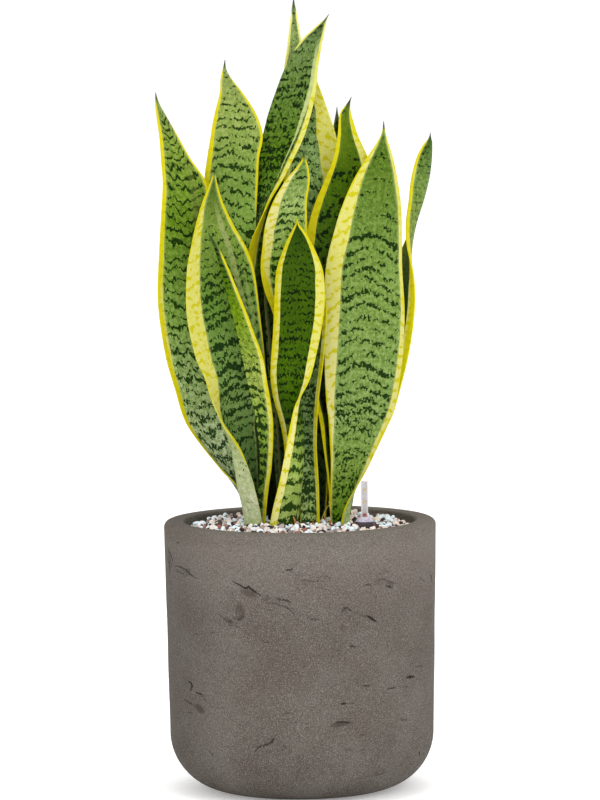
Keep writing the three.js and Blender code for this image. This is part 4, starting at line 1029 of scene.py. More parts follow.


# Cracks in the pot's front, drawn as painted shadow in them: how dark each is, then its points in pixels of
# the photo, across and down, with the crack's half width there in millimetres
CRACKS = [
    (1, (233.5, 581.5, .3), (240, 585, .6), (244.5, 588, .8), (249, 587, 1), (253, 590.5, .8),
     (259, 594.5, .5)),
    (.8, (169, 550.5, .3), (171, 553.5, .8), (173, 559, .7), (172, 566, .5)),
    (.6, (168.5, 558, .4), (169, 562, .5), (170, 570, .4)), (.5, (166.5, 548, .4), (167, 556, .4)),
    (.75, (176.5, 566, .3), (182, 567, .6), (186.5, 570, .7), (191, 575, .5), (197, 578, .3)),
    (.6, (177.5, 571, .3), (183.5, 573.5, .6), (186, 575, .3)), (.4, (232, 589, .4), (233.5, 600, .5)),
    (.5, (234, 618, .4), (238.5, 620, .7), (243, 617, .7), (244, 610, .4)),
    (.45, (218.5, 614, .4), (224, 619, .5), (231, 622, .5)),
    (.45, (226, 626, .3), (232, 625, .6), (238, 627, .4)), (.5, (264, 594, .3), (269.5, 597.5, .5)),
    (.8, (278, 598.5, .6), (279.5, 599, .6)), (.8, (284, 600, .6), (286.5, 600, .9), (289.5, 602, .5)),
    (.6, (272.5, 603, .3), (281.5, 605.5, .5), (286, 607, .5), (291, 611, .5), (295, 615.5, .4)),
    (.5, (268, 610, .4), (271, 610, .4)), (.9, (287.5, 570, .5), (290.5, 569.5, .8)),
    (.45, (294, 566, .3), (298, 563, .4)), (.4, (297, 574.5, .5), (300, 574.5, .3)),
    (.4, (215, 571, .4), (217, 572, .5)), (.4, (196, 634, .5), (200, 634.5, .6)),
    (.5, (211, 633, .5), (212, 633, .5)), (.35, (257, 626, .3), (265, 626.5, .4)),
    (.8, (178.3, 542.5, .6), (179, 542.7, .6)),
    (.5, (302.5, 580, .4), (307, 580, .6), (312, 581.5, .6), (317, 581, .4)),
    (.5, (319.5, 577, .3), (325, 575.5, .5), (329.5, 578, .4)),
    (.4, (315, 587, .3), (322, 588, .5), (328, 590, .3)), (.35, (315, 560, .3), (325, 561, .4)),
    (.4, (368, 565, .5), (369, 565, .5)), (.45, (384, 570, .3), (387.5, 572, .5)),
    (.5, (379, 583, .3), (378.5, 580, .5), (383.5, 579, .6), (388.5, 581.5, .4), (395.5, 583.5, .4)),
    (.95, (387, 586, .4), (389.5, 587, .9), (391.5, 587.5, .4)),
    (.75, (366, 585, .4), (368.5, 584.5, .7), (370, 585, .3)), (.4, (415, 561.5, .4), (419, 562.5, .5)),
    (.6, (420.5, 578.5, .4), (424, 581, .6)), (.9, (430, 574.5, .6), (431, 577.5, 1), (431.5, 580, .5)),
    (.3, (401, 591.5, .4), (408, 594.5, .5)),
    (.65, (342.5, 611, .5), (343, 608.8, .7), (347, 608, .8), (350, 610, .5)),
    (.45, (356.5, 613.5, .3), (362, 615.5, .8), (366, 617, .9)),
    (.95, (367, 616, .3), (371.5, 618.5, 1.3), (375.5, 621, .7)), (.6, (313, 619.5, .6), (317.5, 620, .6)),
    (.75, (352, 646.5, .9), (354.5, 646.5, .7)), (.35, (337, 650, .5), (340, 650, .5)),
    (.65, (417.5, 666.5, .3), (423, 666, .5)), (1, (408.8, 677.6, .7), (411.5, 677, 1.4), (415, 677, .6)),
    (.6, (418.5, 679.5, .5), (420, 680, .4)), (.85, (365.5, 685.8, .5), (369.5, 686, .6)),
    (.9, (390.5, 688.8, .4), (394.5, 688, .6)), (.5, (406, 687, .4), (407.5, 687, .4)),
    (1, (188.5, 682, .5), (190, 683, 1), (191, 686, 1.2), (190, 689, .6)),
    (1, (196, 693.3, .6), (200, 694.2, .6)), (.5, (201.5, 697, .6), (204.5, 700, .7)),
    (.8, (183.5, 700, .4), (190, 704, .5)), (.6, (187.5, 712.8, .4), (190, 713, .4)),
    (.4, (205, 671, .4), (208, 670, .6), (209.5, 674.5, .6)), (.4, (217, 707.5, .5), (221, 708, .5)),
    (.5, (286, 713.5, .9), (289, 713.5, .9)), (.35, (292, 723.5, .4), (297, 724, .4)),
    (.6, (263, 641.5, .4), (267, 642.5, .5)), (.35, (292, 671.2, .4), (294.5, 671.5, .4)),
    (.85, (254.5, 751.5, .3), (258, 747.5, .6), (265, 745.5, .5), (271, 742.5, 1), (272.8, 740.5, .5)),
    (.4, (261, 754.5, .3), (264, 755.5, .4), (266, 752, .3)), (.4, (238, 739.5, .3), (244, 738.5, .4)),
    (.4, (223, 746.5, .3), (231.5, 747, .4)), (.6, (283.5, 747, .5), (285, 748, .5)),
    (.7, (208.5, 753, .4), (210, 754.5, .5)), (.4, (206, 781, .4), (210, 782, .5)),
    (1, (343, 704, .6), (345.5, 703.8, .6)), (.6, (350, 704.2, .4), (353.5, 704, .4)),
    (.8, (336, 723.5, .4), (341, 722, .6), (347, 722.5, .5), (352.5, 723.5, .3)),
    (.45, (401, 719.5, .5), (408, 720, .9)), (.6, (363.5, 735, .4), (364.8, 735, .4)),
    (.35, (346, 750, .6), (350.5, 749.5, .5)), (.5, (362, 750.3, .4), (363.2, 750.4, .4)),
    (.4, (343, 755, .3), (346.5, 755, .3)), (.9, (423.5, 753, .6), (424.5, 755.5, .7)),
    (.4, (418, 764, .6), (419, 765.5, .5)), (.4, (381, 769, .4), (390, 770.5, .5)),
    (.6, (384, 776.5, .5), (387, 776, .8), (392, 774, .4)),
    (.4, (401, 770.5, .4), (403, 769, .4), (402.5, 772, .4)),
]

# Soft hollows of the pot's front, in pixels of the photo: across, down, half length, half height, slant in
# degrees, and how dark they are, which sets their depth and the painted shade in them
HOLLOWS = [
    (249, 593, 9, 4, -22, .5), (239.5, 612, 4.6, 8, 8, .5), (229, 621.5, 9, 3, -30, .35),
    (170, 560, 3.5, 12, 5, .4), (197.5, 708.7, 8, 3.2, -20, .75), (340.8, 724.7, 9.5, 2.4, 7, .65),
    (372, 618.5, 5, 2.2, -30, .4), (346, 611, 4.5, 2.5, -5, .2), (388, 583, 8, 3.5, -12, .2),
    (342, 628, 1.6, 2.6, 0, .45), (325, 631, 3, 2, 0, .25), (190, 572, 8, 3, -35, .3),
    (310, 583, 9, 4, -10, .15), (405, 720, 4, 1.2, -5, .3), (265, 598, 4, 3, -20, .25),
    (290, 608, 9, 3, -38, .2), (386, 774, 8, 4, 0, .2),
]

# Scuffed places of the pot's front, in pixels of the photo: across, down, half width, half height, strength
SCUFFS = [
    (170, 563, 8, 22, 1.0), (186, 570, 14, 9, 0.8), (250, 594, 20, 14, 0.7), (272, 602, 22, 9, 0.9),
    (232, 612, 16, 14, 0.7), (300, 586, 26, 12, 0.7), (324, 580, 14, 8, 0.8), (380, 580, 18, 12, 0.9),
    (350, 606, 26, 10, 0.5), (210, 640, 30, 22, 0.5), (196, 700, 20, 18, 0.7), (262, 640, 30, 20, 0.4),
    (410, 590, 16, 14, 0.5), (420, 672, 12, 10, 0.5), (340, 640, 30, 16, 0.4), (336, 724, 16, 8, 0.5),
    (240, 742, 26, 10, 0.4), (184, 600, 16, 30, 0.5),
]


def pot_spot(x, y):
    """The angle from the front and the height at which a pixel of the photo sees the pot's side."""
    camera = bpy.context.scene.camera.matrix_world
    ray = camera.to_3x3() @ Vector((x - FRAME_WIDTH / 2, FRAME_PIXELS / 2 - y, -FOCAL_PIXELS))
    start = camera.translation / MM
    a = ray.x ** 2 + ray.y ** 2
    b = start.x * ray.x + start.y * ray.y
    c = start.x ** 2 + start.y ** 2 - MARKED_RADIUS ** 2
    spot = start + ray * ((-b - math.sqrt(max(b * b - a * c, 0))) / a)
    return math.atan2(spot.x, -spot.y), spot.z


def pot_marks():
    """Cracks as a darkness with points of angle, height and half width, and hollows as angle, height, half
    length, half height, slant and darkness: the photo's, then others for the back, which it doesn't show."""
    cracks = [(dark, [pot_spot(x, y) + (half,) for x, y, half in points]) for dark, *points in CRACKS]
    hollows = [pot_spot(x, y) + (length / PIXELS_PER_MM, height / PIXELS_PER_MM, slant, dark)
               for x, y, length, height, slant, dark in HOLLOWS]
    draw = random.Random(PIT_SEED)
    for _ in range(REAR_HOLLOWS):
        angle, height = draw.uniform(math.pi / 2, 3 * math.pi / 2), draw.uniform(*REAR_LEVELS)
        hollows.append((angle, height, draw.uniform(3, 9), draw.uniform(1.5, 4), draw.uniform(-32, 8),
                        draw.uniform(0.2, 0.7)))
        for _ in range(REAR_CRACKS):
            points = []
            spot = (angle + draw.uniform(-0.12, 0.12), height + draw.uniform(-10, 10))
            for _ in range(draw.randint(2, 4)):
                points.append(spot + (draw.uniform(0.3, 0.9),))
                spot = (spot[0] + draw.uniform(0.012, 0.045), spot[1] - draw.uniform(-0.5, 4))
            cracks.append((draw.uniform(0.4, 1), points))
    return cracks, hollows


def crack_fields(cracks, facing, heights):
    """Maps over the pot's side, millimetres: the distance from the nearest crack, the same across its line
    with a sign, its half width, and how dark it is."""
    shape = (len(heights), len(facing))
    nearest = np.full(shape, float(NO_CRACK))
    signed, half, darkness = nearest.copy(), np.zeros(shape), np.zeros(shape)
    for dark, points in cracks:
        for (angle, low, first), (end_angle, end, last) in zip(points, points[1:]):
            run, rise = (end_angle - angle) * POT_RADIUS, end - low
            length = math.hypot(run, rise)
            s = ((facing - angle) * POT_RADIUS + GIRTH / 2) % GIRTH - GIRTH / 2
            t = (heights - low)[:, None]
            along = (s * run + t * rise) / length
            over = (t * run - s * rise) / length
            far = np.hypot(over, np.maximum(np.maximum(-along, along - length), 0))
            closer = far < nearest
            nearest[closer], signed[closer], darkness[closer] = far[closer], over[closer], dark
            half[closer] = (first + (last - first) * np.clip(along / length, 0, 1))[closer]
    return nearest, signed, half, darkness


def hollow_field(hollows, facing, heights):
    """A map over the pot's side of how deep its hollows are, from 0 to 1."""
    pit = np.zeros((len(heights), len(facing)))
    for angle, height, length, breadth, slant, dark in hollows:
        turn = math.radians(slant)
        s = ((facing - angle + math.pi) % (2 * math.pi) - math.pi) * POT_RADIUS
        t = (heights - height)[:, None]
        along = s * math.cos(turn) + t * math.sin(turn)
        over = t * math.cos(turn) - s * math.sin(turn)
        far = np.hypot(along / length, over / breadth)
        pit = np.maximum(pit, dark * np.clip(HOLLOW_REACH - far, 0, 1))
    return pit


def scuff_field(facing, heights):
    """A map over the pot's side of how scuffed it is, from 0 to 1. Its rear is scuffed evenly."""
    scuff = REAR_SCUFF * (np.abs(facing) > math.pi / 2)
    for x, y, breadth, length, strength in SCUFFS:
        angle, height = pot_spot(x, y)
        far = np.hypot((facing - angle) * POT_RADIUS * PIXELS_PER_MM / breadth,
                       (heights - height)[:, None] * PIXELS_PER_MM / length)
        scuff = np.maximum(scuff, strength * np.clip(SCUFF_REACH - far, 0, 1))
    return scuff


def pot_profile():
    """The pot's outline from the foot's middle, up the outside, over the rim and down inside."""
    foot = arc(FOOT_RADIUS, FOOT_ROUNDING, FOOT_ROUNDING, -90, 0, FOOT_STEPS)
    side = straight(foot[-1], (POT_RADIUS, POT_HEIGHT - RIM_ROUNDING), SIDE_STEPS)
    rim = arc(POT_RADIUS - RIM_ROUNDING, POT_HEIGHT - RIM_ROUNDING, RIM_ROUNDING, 0, 90, RIM_STEPS)
    lip = arc(MOUTH_RADIUS + LIP_ROUNDING, POT_HEIGHT - LIP_ROUNDING, LIP_ROUNDING, 90, 180, LIP_STEPS)
    cavity = arc(MOUTH_RADIUS - CAVITY_ROUNDING, FLOOR + CAVITY_ROUNDING, CAVITY_ROUNDING, 0, -90,
                 CAVITY_STEPS)
    wall = straight(lip[-1], cavity[0], CAVITY_STEPS)
    underside = [(0, 0)] + straight((0, 0), foot[0], UNDERSIDE_STEPS)
    return underside + foot + side + rim + lip + wall + cavity + [(0, FLOOR)]


def pot_piece():
    """The clay pot. Its grid is finer at the front, and the pits are pressed into its outside."""
    front = np.arange(FRONT_STEPS) * 180 / FRONT_STEPS - 180
    rear = np.arange(REAR_STEPS) * 180 / REAR_STEPS
    angles = np.radians(np.concatenate([front, rear]))
    radii, heights = np.array(pot_profile()).T
    # Angle from the front, positive to the right
    facing = (angles + math.pi / 2 + math.pi) % (2 * math.pi) - math.pi
    rows = range(UNDERSIDE_STEPS + 1, UNDERSIDE_STEPS + 1 + FOOT_STEPS + SIDE_STEPS)
    outside = np.isin(np.arange(len(heights)), rows)[:, None]
    cracks, hollows = pot_marks()
    nearest, signed, half, darkness = crack_fields(cracks, facing, heights)
    pit = hollow_field(hollows, facing, heights) * outside
    ripple = np.zeros_like(pit)
    for row in rows:
        for column, angle in enumerate(angles):
            spot = Vector((radii[row] * math.cos(angle), radii[row] * math.sin(angle), heights[row]))
            ripple[row, column] = sum(noise.noise(spot / size) * depth for size, depth in RIPPLES)
            if pit[row, column] > PIT_LEAST:
                pit[row, column] *= 1 + PIT_ROUGHNESS * noise.noise(spot / PIT_GRAIN)
    pit = np.clip(pit, 0, 1)
    radius = np.maximum(radii[:, None] - pit * PIT_DEPTH + ripple, 0)

    def closed(values):
        """Values of all rows, of which the first and last are single points."""
        inner = values[1:-1].reshape((-1,) + values.shape[2:])
        return np.concatenate([values[0, :1], inner, values[-1, :1]])

    vertices = np.stack([radius * np.cos(angles), radius * np.sin(angles),
                         np.broadcast_to(heights[:, None], radius.shape)], -1)
    counts = [1] + [len(angles)] * (len(heights) - 2) + [1]
    piece = make_mesh("pot_shell", closed(vertices), ring_faces(counts))
    fields = {
        "hollow": pit,
        "scuff": scuff_field(facing, heights),
        "near": np.where(outside, np.minimum(nearest, CRACK_REACH), CRACK_REACH),
        "over": np.clip(signed, -CRACK_REACH, CRACK_REACH),
        "half": half,
        "dark": darkness,
    }
    for key, field in fields.items():
        add_field(piece, key, closed(field))
    dress(piece, clay_material(), BODY, "pot")


def clay_material():
    """Fibre clay: sandy and cloudy, scuffed and pored, with pits and cracks. Painted shade darkens its pits,
    cracks, pores, foot and left side, and painted light brightens its top.
    """
    g = Graph("clay")
    place = g.millimetres()
    x, y, z = g.parts(place)
    slanted = g.node("ShaderNodeCombineXYZ")
    stretched = (g.times(x, 0.22), g.times(y, 0.22), g.times(g.plus(z, g.times(x, 0.42)), 0.75))
    for socket, value in zip(slanted.inputs, stretched):
        g.put(socket, value)
    slanted = slanted.outputs[0]
    hollow = g.attribute("hollow")
    pit = g.shifted(hollow, (g.noise(slanted, detail=4, roughness=0.65), 0.5, 1.6))
    pit = g.times(g.range(pit, 0.1, 0.32), g.range(hollow, 0.0, 0.25))
    pit = g.times(pit, g.times(hollow, 1.5), clamp=True)
    # A crack's painted shadow is drawn where the point lies within a ragged half width of its line
    frayed = g.noise(place, scale=0.55, detail=3, roughness=0.65)
    over = g.shifted(g.attribute("over"), (frayed, 0.5, 3.6))
    over = g.less(g.math("ABSOLUTE", over), g.attribute("half"))
    core = g.times(g.range(over, 0.35, -0.2), g.range(g.attribute("near"), 2.2, 1.4))
    broken = g.noise(place, scale=0.45, roughness=0.7)
    broken = g.plus(broken, g.times(g.attribute("dark"), 0.22))
    core = g.times(core, g.range(broken, 0.52, 0.62, 0.25, 1.0))
    core = g.times(core, g.attribute("dark"))
    sand = g.noise(place, scale=1.25, roughness=0.75)
    coarse = g.noise(place, scale=0.35, detail=3, roughness=0.7)
    cloud = g.noise(place, scale=0.018, detail=4, roughness=0.6)
    pores = g.range(g.noise(place, scale=0.5), 0.3, 0.24)
    chips = g.less(g.noise(slanted, scale=1.5, detail=4, roughness=0.7), 0.36)
    scratch = g.range(g.less(chips, g.times(g.attribute("scuff"), 0.16)), 0.0, -0.07)
    # Painted shade and light: darker towards the foot, lighter near the top and a little darker again at the
    # rim
    stops = [(0.0, CLAY_FOOT), (0.3, CLAY_SIDE), (0.68, CLAY_SIDE), (0.93, CLAY_TOP), (0.965, CLAY_RIM)]
    tone = g.ramp(g.math("DIVIDE", z, POT_HEIGHT), stops)
    tone = g.cover(tone, linear(CLAY_PALE), cloud, 0.35, 0.68, 0.4)
    tone = g.cover(tone, linear(CLAY_DARK), sand, 0.5, 0.3, 0.68)
    tone = g.cover(tone, linear(CLAY_GRAIN), sand, 0.5, 0.7, 0.52)
    tone = g.cover(tone, linear(CLAY_DARK), coarse, 0.45, 0.3, 0.2)
    # Painted shade: the left side of the pot is darker
    tone = g.cover(tone, linear(CLAY_DARK), x, CLAY_PAINTED_SHADE_X, -POT_RADIUS, 0.3)
    # Painted shadow in the pores
    tone = g.mix(g.times(pores, 0.6), tone, linear(CLAY_CRACK_AND_PORE_SHADOW))
    # Wear: scratches where the pot is scuffed
    tone = g.mix(g.times(scratch, 0.55), tone, linear(CLAY_HOLLOW_SHADE_AND_SCRATCH))
    # Painted shade in the hollows
    tone = g.mix(pit, tone, linear(CLAY_HOLLOW_SHADE_AND_SCRATCH))
    # Painted shadow in the cracks
    tone = g.mix(g.times(core, 0.85), tone, linear(CLAY_CRACK_AND_PORE_SHADOW))
    g.set(Base_Color=tone, Roughness=0.92, Specular_IOR_Level=0.05)
    rough = g.plus(g.times(sand, 0.6), g.times(coarse, 0.6))
    rough = g.less(g.less(rough, g.times(pit, 0.9)), g.times(core, 0.6))
    g.bump(rough, 1.0 * MM)
    return g.material


def gravel_level(radius):
    """Height of the grain layer, which falls towards the wall."""
    return np.interp(radius, [0, GRAIN_FLAT_RADIUS, MOUTH_RADIUS],
                     [GRAIN_LEVEL, GRAIN_LEVEL, GRAIN_EDGE_LEVEL])


def leaf_footprints():
    """Points across every leaf at the level of the grains, to keep the grains off them."""
    points = []
    for leaf in LEAVES.values():
        values = station_values(leaf["stations"], np.array([GRAIN_LEVEL]))
        across = np.linspace(-1, 1, FOOTPRINT_POINTS)[None, :]
        points.append(blade_section(values, across)[0][0])
    return np.concatenate(points)


def grain_places():
    """Grains dropped one by one where there is room: (x, y, z, radius)."""
    draw = random.Random(GRAIN_SEED)
    leaves = leaf_footprints()
    kept = []
    for layer, tries in enumerate(GRAIN_TRIES):
        cells = {}
        for _ in range(tries):
            size = draw.uniform(*GRAIN_SIZES[layer])
            angle = draw.uniform(0, 2 * math.pi)
            reach = math.sqrt(draw.random()) * (MOUTH_RADIUS - size * GRAIN_WALL_SHARE)
            x, y = reach * math.cos(angle), reach * math.sin(angle)
            key = (int(x // GRAIN_CELL), int(y // GRAIN_CELL))
            near = [grain for i in (-1, 0, 1) for j in (-1, 0, 1)
                    for grain in cells.get((key[0] + i, key[1] + j), ())]
            if any(math.hypot(x - a, y - b) < GRAIN_PACKING * (size + c) for a, b, _, c in near):
                continue
            if math.hypot(x - GAUGE_X, y - GAUGE_Y) < FLANGE_RADIUS + size * GRAIN_GAUGE_SHARE:
                continue
            clearance = np.min(np.hypot(leaves[:, 0] - x, leaves[:, 1] - y))
            if clearance < size * GRAIN_LEAF_SHARE + GRAIN_LEAF_GAP:
                continue
            z = float(gravel_level(reach)) - GRAIN_SINK + GRAIN_LAYERS[layer]
            grain = (x, y, z + draw.uniform(-GRAIN_SCATTER, GRAIN_SCATTER), size)
            cells.setdefault(key, []).append(grain)
            kept.append(grain)
    return kept


def stone_shapes(draw):
    """Broken grains of radius 1: the hulls of points thrown on a ball."""
    shapes = []
    for _ in range(STONE_SHAPES):
        mesh = bmesh.new()
        for point in draw.normal(size=(STONE_POINTS, 3)):
            mesh.verts.new(point / np.linalg.norm(point) * draw.uniform(*STONE_ROUGHNESS))
        bmesh.ops.convex_hull(mesh, input=mesh.verts)
        mesh.verts.index_update()
        points = np.array([vertex.co for vertex in mesh.verts])
        shapes.append((points, [[vertex.index for vertex in face.verts] for face in mesh.faces]))
        mesh.free()
    return shapes


def gravel_pieces():
    """The grains, one mesh for each colour."""
    draw = np.random.default_rng(GRAIN_SEED)
    shapes = stone_shapes(draw)
    places = grain_places()
    names = list(GRAIN_COLORS)
    shares = np.array([GRAIN_COLORS[name][0] for name in names])
    chosen = draw.choice(len(names), size=len(places), p=shares / shares.sum())
    for number, name in enumerate(names):
        points, faces, tints, first = [], [], [], 0
        for place in [p for p, c in zip(places, chosen) if c == number]:
            stretch = draw.uniform(STONE_LEAST, STONE_MOST)
            turn = Matrix.Rotation(draw.uniform(0, 6.28), 3, Vector(draw.normal(size=3)).normalized())
            stone, stone_faces = shapes[draw.integers(STONE_SHAPES)]
            points.append((stone * stretch * place[3]) @ np.array(turn).T + np.array(place[:3]))
            faces += [[first + k for k in face] for face in stone_faces]
            first += len(stone)
            tints.append(np.full(len(stone), draw.random()))
        piece = make_mesh("grains_" + name, np.concatenate(points), faces, smooth=False)
        add_field(piece, "tint", np.concatenate(tints))
        dress(piece, grain_material(name, *GRAIN_COLORS[name][1:]), BODY, "substrate")


def grain_material(name, light, dark):
    """Pored stone, each grain in its own tint, glowing a little as painted light."""
    g = Graph("grain_" + name)
    tone = g.mix(g.attribute("tint"), linear(light), linear(dark))
    speck = g.noise(g.millimetres(), scale=0.9, detail=3, roughness=0.7)
    tone = g.cover(tone, linear(dark), speck, 0.5, 0.32, 0.45)
    tone = g.cover(tone, linear(GRAIN_PORE), speck, 0.34, 0.26, 0.6)
    g.set(Base_Color=g.scaled(tone, (GRAIN_SHADE,) * 3), Roughness=0.88, Specular_IOR_Level=0.3)
    # Painted light: the grains glow with their own tone
    g.set(Emission_Color=tone, Emission_Strength=GRAIN_PAINTED_GLOW)
    g.bump(speck, 0.5 * MM, 0.7)
    return g.material


def shaded_material(name, colors, stretch, detail, relief, strength, grain=0.5, roughness=0.8):
    """A matt material in three shades that follow a noise, with a relief in millimetres."""
    g = Graph(name)
    fibre = g.noise(g.scaled(g.millimetres(), stretch), detail=detail, roughness=grain)
    g.set(Base_Color=g.ramp(fibre, list(zip(SHADE_STOPS, colors))), Roughness=roughness)
    g.bump(fibre, relief * MM, strength)
    return g.material


def fill_piece():
    """The dark fill under the grains, down to the pot's floor, coloured as soil darkened by painted shade of
    the gaps between the grains.
    """
    reach = MOUTH_RADIUS - GAP
    profile = [(0, FLOOR + GAP)]
    profile += arc(MOUTH_RADIUS - CAVITY_ROUNDING, FLOOR + CAVITY_ROUNDING, CAVITY_ROUNDING - GAP, -90, 0,
                   CAVITY_STEPS)
    profile.append((reach, GRAIN_EDGE_LEVEL - FILL_DROP))
    for k in range(1, FILL_RINGS + 1):
        radius = reach * (1 - k / FILL_RINGS)
        profile.append((radius, float(gravel_level(radius)) - FILL_DROP))
    piece = turned_mesh("fill", profile, FILL_STEPS)
    for vertex in piece.data.vertices:
        if vertex.co.z > (GRAIN_EDGE_LEVEL - FILL_DROP - 1) * MM:
            vertex.co.z += noise.noise(vertex.co / (FILL_LUMP * MM)) * FILL_LUMP_HEIGHT * MM
    # The soil's colour, darkened as painted shade of the gaps between the grains
    colors = [(24, 19, 19), (52, 41, 40), (90, 74, 70)]
    material = shaded_material("fill", colors, (0.35, 0.35, 0.35), detail=4, relief=1.5, strength=1.0,
                               grain=0.7, roughness=0.95)
    dress(piece, material, BODY, "substrate")


def plastic_material(name, light, dark, roughness, window=None):
    """Plastic. With a window it is clear in front, as opaque as the window says, and glows a little as
    painted light.
    """
    g = Graph(name)
    place = g.millimetres()
    tone = g.cover(linear(light), linear(dark), g.noise(place, scale=0.6, detail=3), 0.35, 0.7)
    g.set(Base_Color=tone, Roughness=roughness)
    if window is None:
        g.bump(g.noise(place, scale=2.5), 0.1 * MM, 0.3)
    else:
        g.set(Alpha=g.range(g.parts(place)[1], GAUGE_Y - WINDOW_SOFTNESS, GAUGE_Y, window, 1.0))
        # Painted light: the tube glows
        g.set(Emission_Color=linear(light), Emission_Strength=TUBE_PAINTED_GLOW)
    return g.material


def gauge_profiles():
    """The gauge's turned parts as (radius, height): sleeve, dome, tube, float with its rod, and pointer."""
    seat = FLOOR + GAP
    inner_floor = seat + SLEEVE_FLOOR
    collar = FLANGE_RADIUS - FLANGE_ROUNDING
    under_dome = DOME_LEVEL - GAP
    sleeve = [(SLEEVE_HOLE, seat), (SLEEVE_RADIUS, seat), (SLEEVE_RADIUS, FLANGE_LEVEL),
              (FLANGE_RADIUS - GAP, FLANGE_LEVEL)]
    sleeve += arc(collar, FLANGE_LEVEL + FLANGE_ROUNDING, FLANGE_ROUNDING, -60, 0, 3)
    sleeve += arc(collar, under_dome - FLANGE_ROUNDING, FLANGE_ROUNDING, 0, 90, 3)
    sleeve += [(SLEEVE_BORE, under_dome), (SLEEVE_BORE, inner_floor), (SLEEVE_HOLE, inner_floor),
               (SLEEVE_HOLE, seat)]
    dome = [(TUBE_BORE, DOME_LEVEL), (DOME_RADIUS, DOME_LEVEL), (DOME_RADIUS, DOME_LEVEL + DOME_EDGE)]
    dome += arc(DOME_ROUNDING_RADIUS, DOME_LEVEL - DOME_ROUNDING_DROP, DOME_ROUNDING, 22, 74, 8)
    foot = DOME_LEVEL + TUBE_FOOT
    dome += [(TUBE_RADIUS, DOME_LEVEL + DOME_TOP), (TUBE_BORE, foot), (TUBE_BORE, DOME_LEVEL)]
    shoulder = GAUGE_TOP - TUBE_ROUNDING
    tube = [(TUBE_RADIUS, foot), (TUBE_RADIUS, shoulder)]
    tube += arc(TUBE_RADIUS - TUBE_ROUNDING, shoulder, TUBE_ROUNDING, 20, 90, 4)
    tube += [(0, GAUGE_TOP), (0, GAUGE_TOP - TUBE_LID), (TUBE_BORE, GAUGE_TOP - TUBE_LID), (TUBE_BORE, foot),
             (TUBE_RADIUS, foot)]
    base = inner_floor + GAP
    edge = FLOAT_RADIUS - FLOAT_ROUNDING
    float_body = [(0, base), (FLOAT_FLAT, base)]
    float_body += arc(edge, base + FLOAT_ROUNDING, FLOAT_ROUNDING, -60, 0, 3)
    float_body += arc(edge, base + FLOAT_LENGTH - FLOAT_ROUNDING, FLOAT_ROUNDING, 0, 80, 3)
    float_body += [(ROD_RADIUS, base + FLOAT_LENGTH), (ROD_RADIUS, POINTER_LEVEL - GAP),
                   (0, POINTER_LEVEL - GAP)]
    top = POINTER_LEVEL + POINTER_HEIGHT
    pointer = [(0, POINTER_LEVEL), (POINTER_RADIUS - POINTER_BEVEL, POINTER_LEVEL),
               (POINTER_RADIUS, POINTER_LEVEL + POINTER_BEVEL), (POINTER_RADIUS, top - POINTER_TOP_BEVEL),
               (POINTER_RADIUS - POINTER_TOP_BEVEL, top), (0, top)]
    return sleeve, dome, tube, float_body, pointer


def gauge_pieces():
    """The water gauge: sleeve, dome, tube and its marks on the planter, float and pointer on the float."""
    sleeve, dome, tube, float_body, pointer = gauge_profiles()
    turned = [
        ("gauge_sleeve_turned", sleeve, ("sleeve_plastic", (64, 52, 60), (44, 34, 40), 0.45),
         BODY, "dark_plastic", "gauge_sleeve"),
        ("gauge_dome", dome, ("dome_plastic", (200, 192, 206), (160, 151, 168), 0.25),
         BODY, "clear_plastic", "gauge_tube"),
        ("gauge_tube_turned", tube, ("tube_plastic", (226, 225, 226), (222, 221, 222), 0.3, TUBE_WINDOW),
         BODY, "clear_plastic", "gauge_tube"),
        ("gauge_float_turned", float_body, ("float_foam", (232, 228, 218), (206, 200, 188), 0.9),
         FLOAT_BODY, "foam", "gauge_float"),
        ("gauge_pointer_turned", pointer, ("pointer_plastic", (186, 58, 20), (146, 34, 24), 0.6),
         FLOAT_BODY, "red_plastic", "gauge_pointer"),
    ]
    for name, profile, plastic, body, slot, node in turned:
        piece = turned_mesh(name, profile, GAUGE_STEPS, GAUGE_X, GAUGE_Y)
        dress(piece, plastic_material(*plastic), body, node)
    inner, outer = TUBE_RADIUS - MARK_SUNK, TUBE_RADIUS + MARK_RAISED
    for number, level in enumerate(MARK_LEVELS):
        top = level + MARK_HEIGHT
        corners = ((inner, level), (outer, level), (outer, top), (inner, top))
        angles = np.radians(np.linspace(-90 - MARK_HALF_ANGLE, -90 + MARK_HALF_ANGLE, MARK_STEPS))
        vertices = [(GAUGE_X + radius * math.cos(angle), GAUGE_Y + radius * math.sin(angle), height)
                    for angle in angles for radius, height in corners]
        mark = rod_mesh(f"gauge_mark_{number + 1}", vertices, MARK_STEPS, smooth=False)
        paint = plastic_material(f"mark_paint_{number + 1}", (214, 186, 96), (190, 160, 70), 0.5)
        dress(mark, paint, BODY, "gauge_tube")


def dry_material(name, *colors):
    """Dried leaf, with fibres along it."""
    return shaded_material(name, colors, (1.2, 1.2, 0.2), detail=3, relief=0.4, strength=0.6)


def sheath_pieces():
    """Dried sheath bits at the leaf bases: flat, and narrower to the tip, which curls back."""
    material = dry_material("dried_sheath", (132, 70, 30), (184, 114, 56), (214, 164, 96))
    for number, (foot, tip, width) in enumerate(SHEATHS):
        vertices = []
        for t in np.linspace(0, 1, SHEATH_ROWS):
            x, y, z = Vector(foot).lerp(Vector(tip), t)
            x += SHEATH_SWAY * math.sin(SHEATH_WAVES * t + number)
            y += SHEATH_CURL * t * t
            half = width / 2 * (1 - t) ** SHEATH_NARROWING + SHEATH_TIP
            for side in range(SHEATH_SIDES):
                turn = 2 * math.pi * side / SHEATH_SIDES
                vertices.append((x + half * math.cos(turn), y + half * SHEATH_FLATNESS * math.sin(turn), z))
        dress(rod_mesh(f"sheath_{number + 1}", vertices, SHEATH_ROWS), material, BODY)


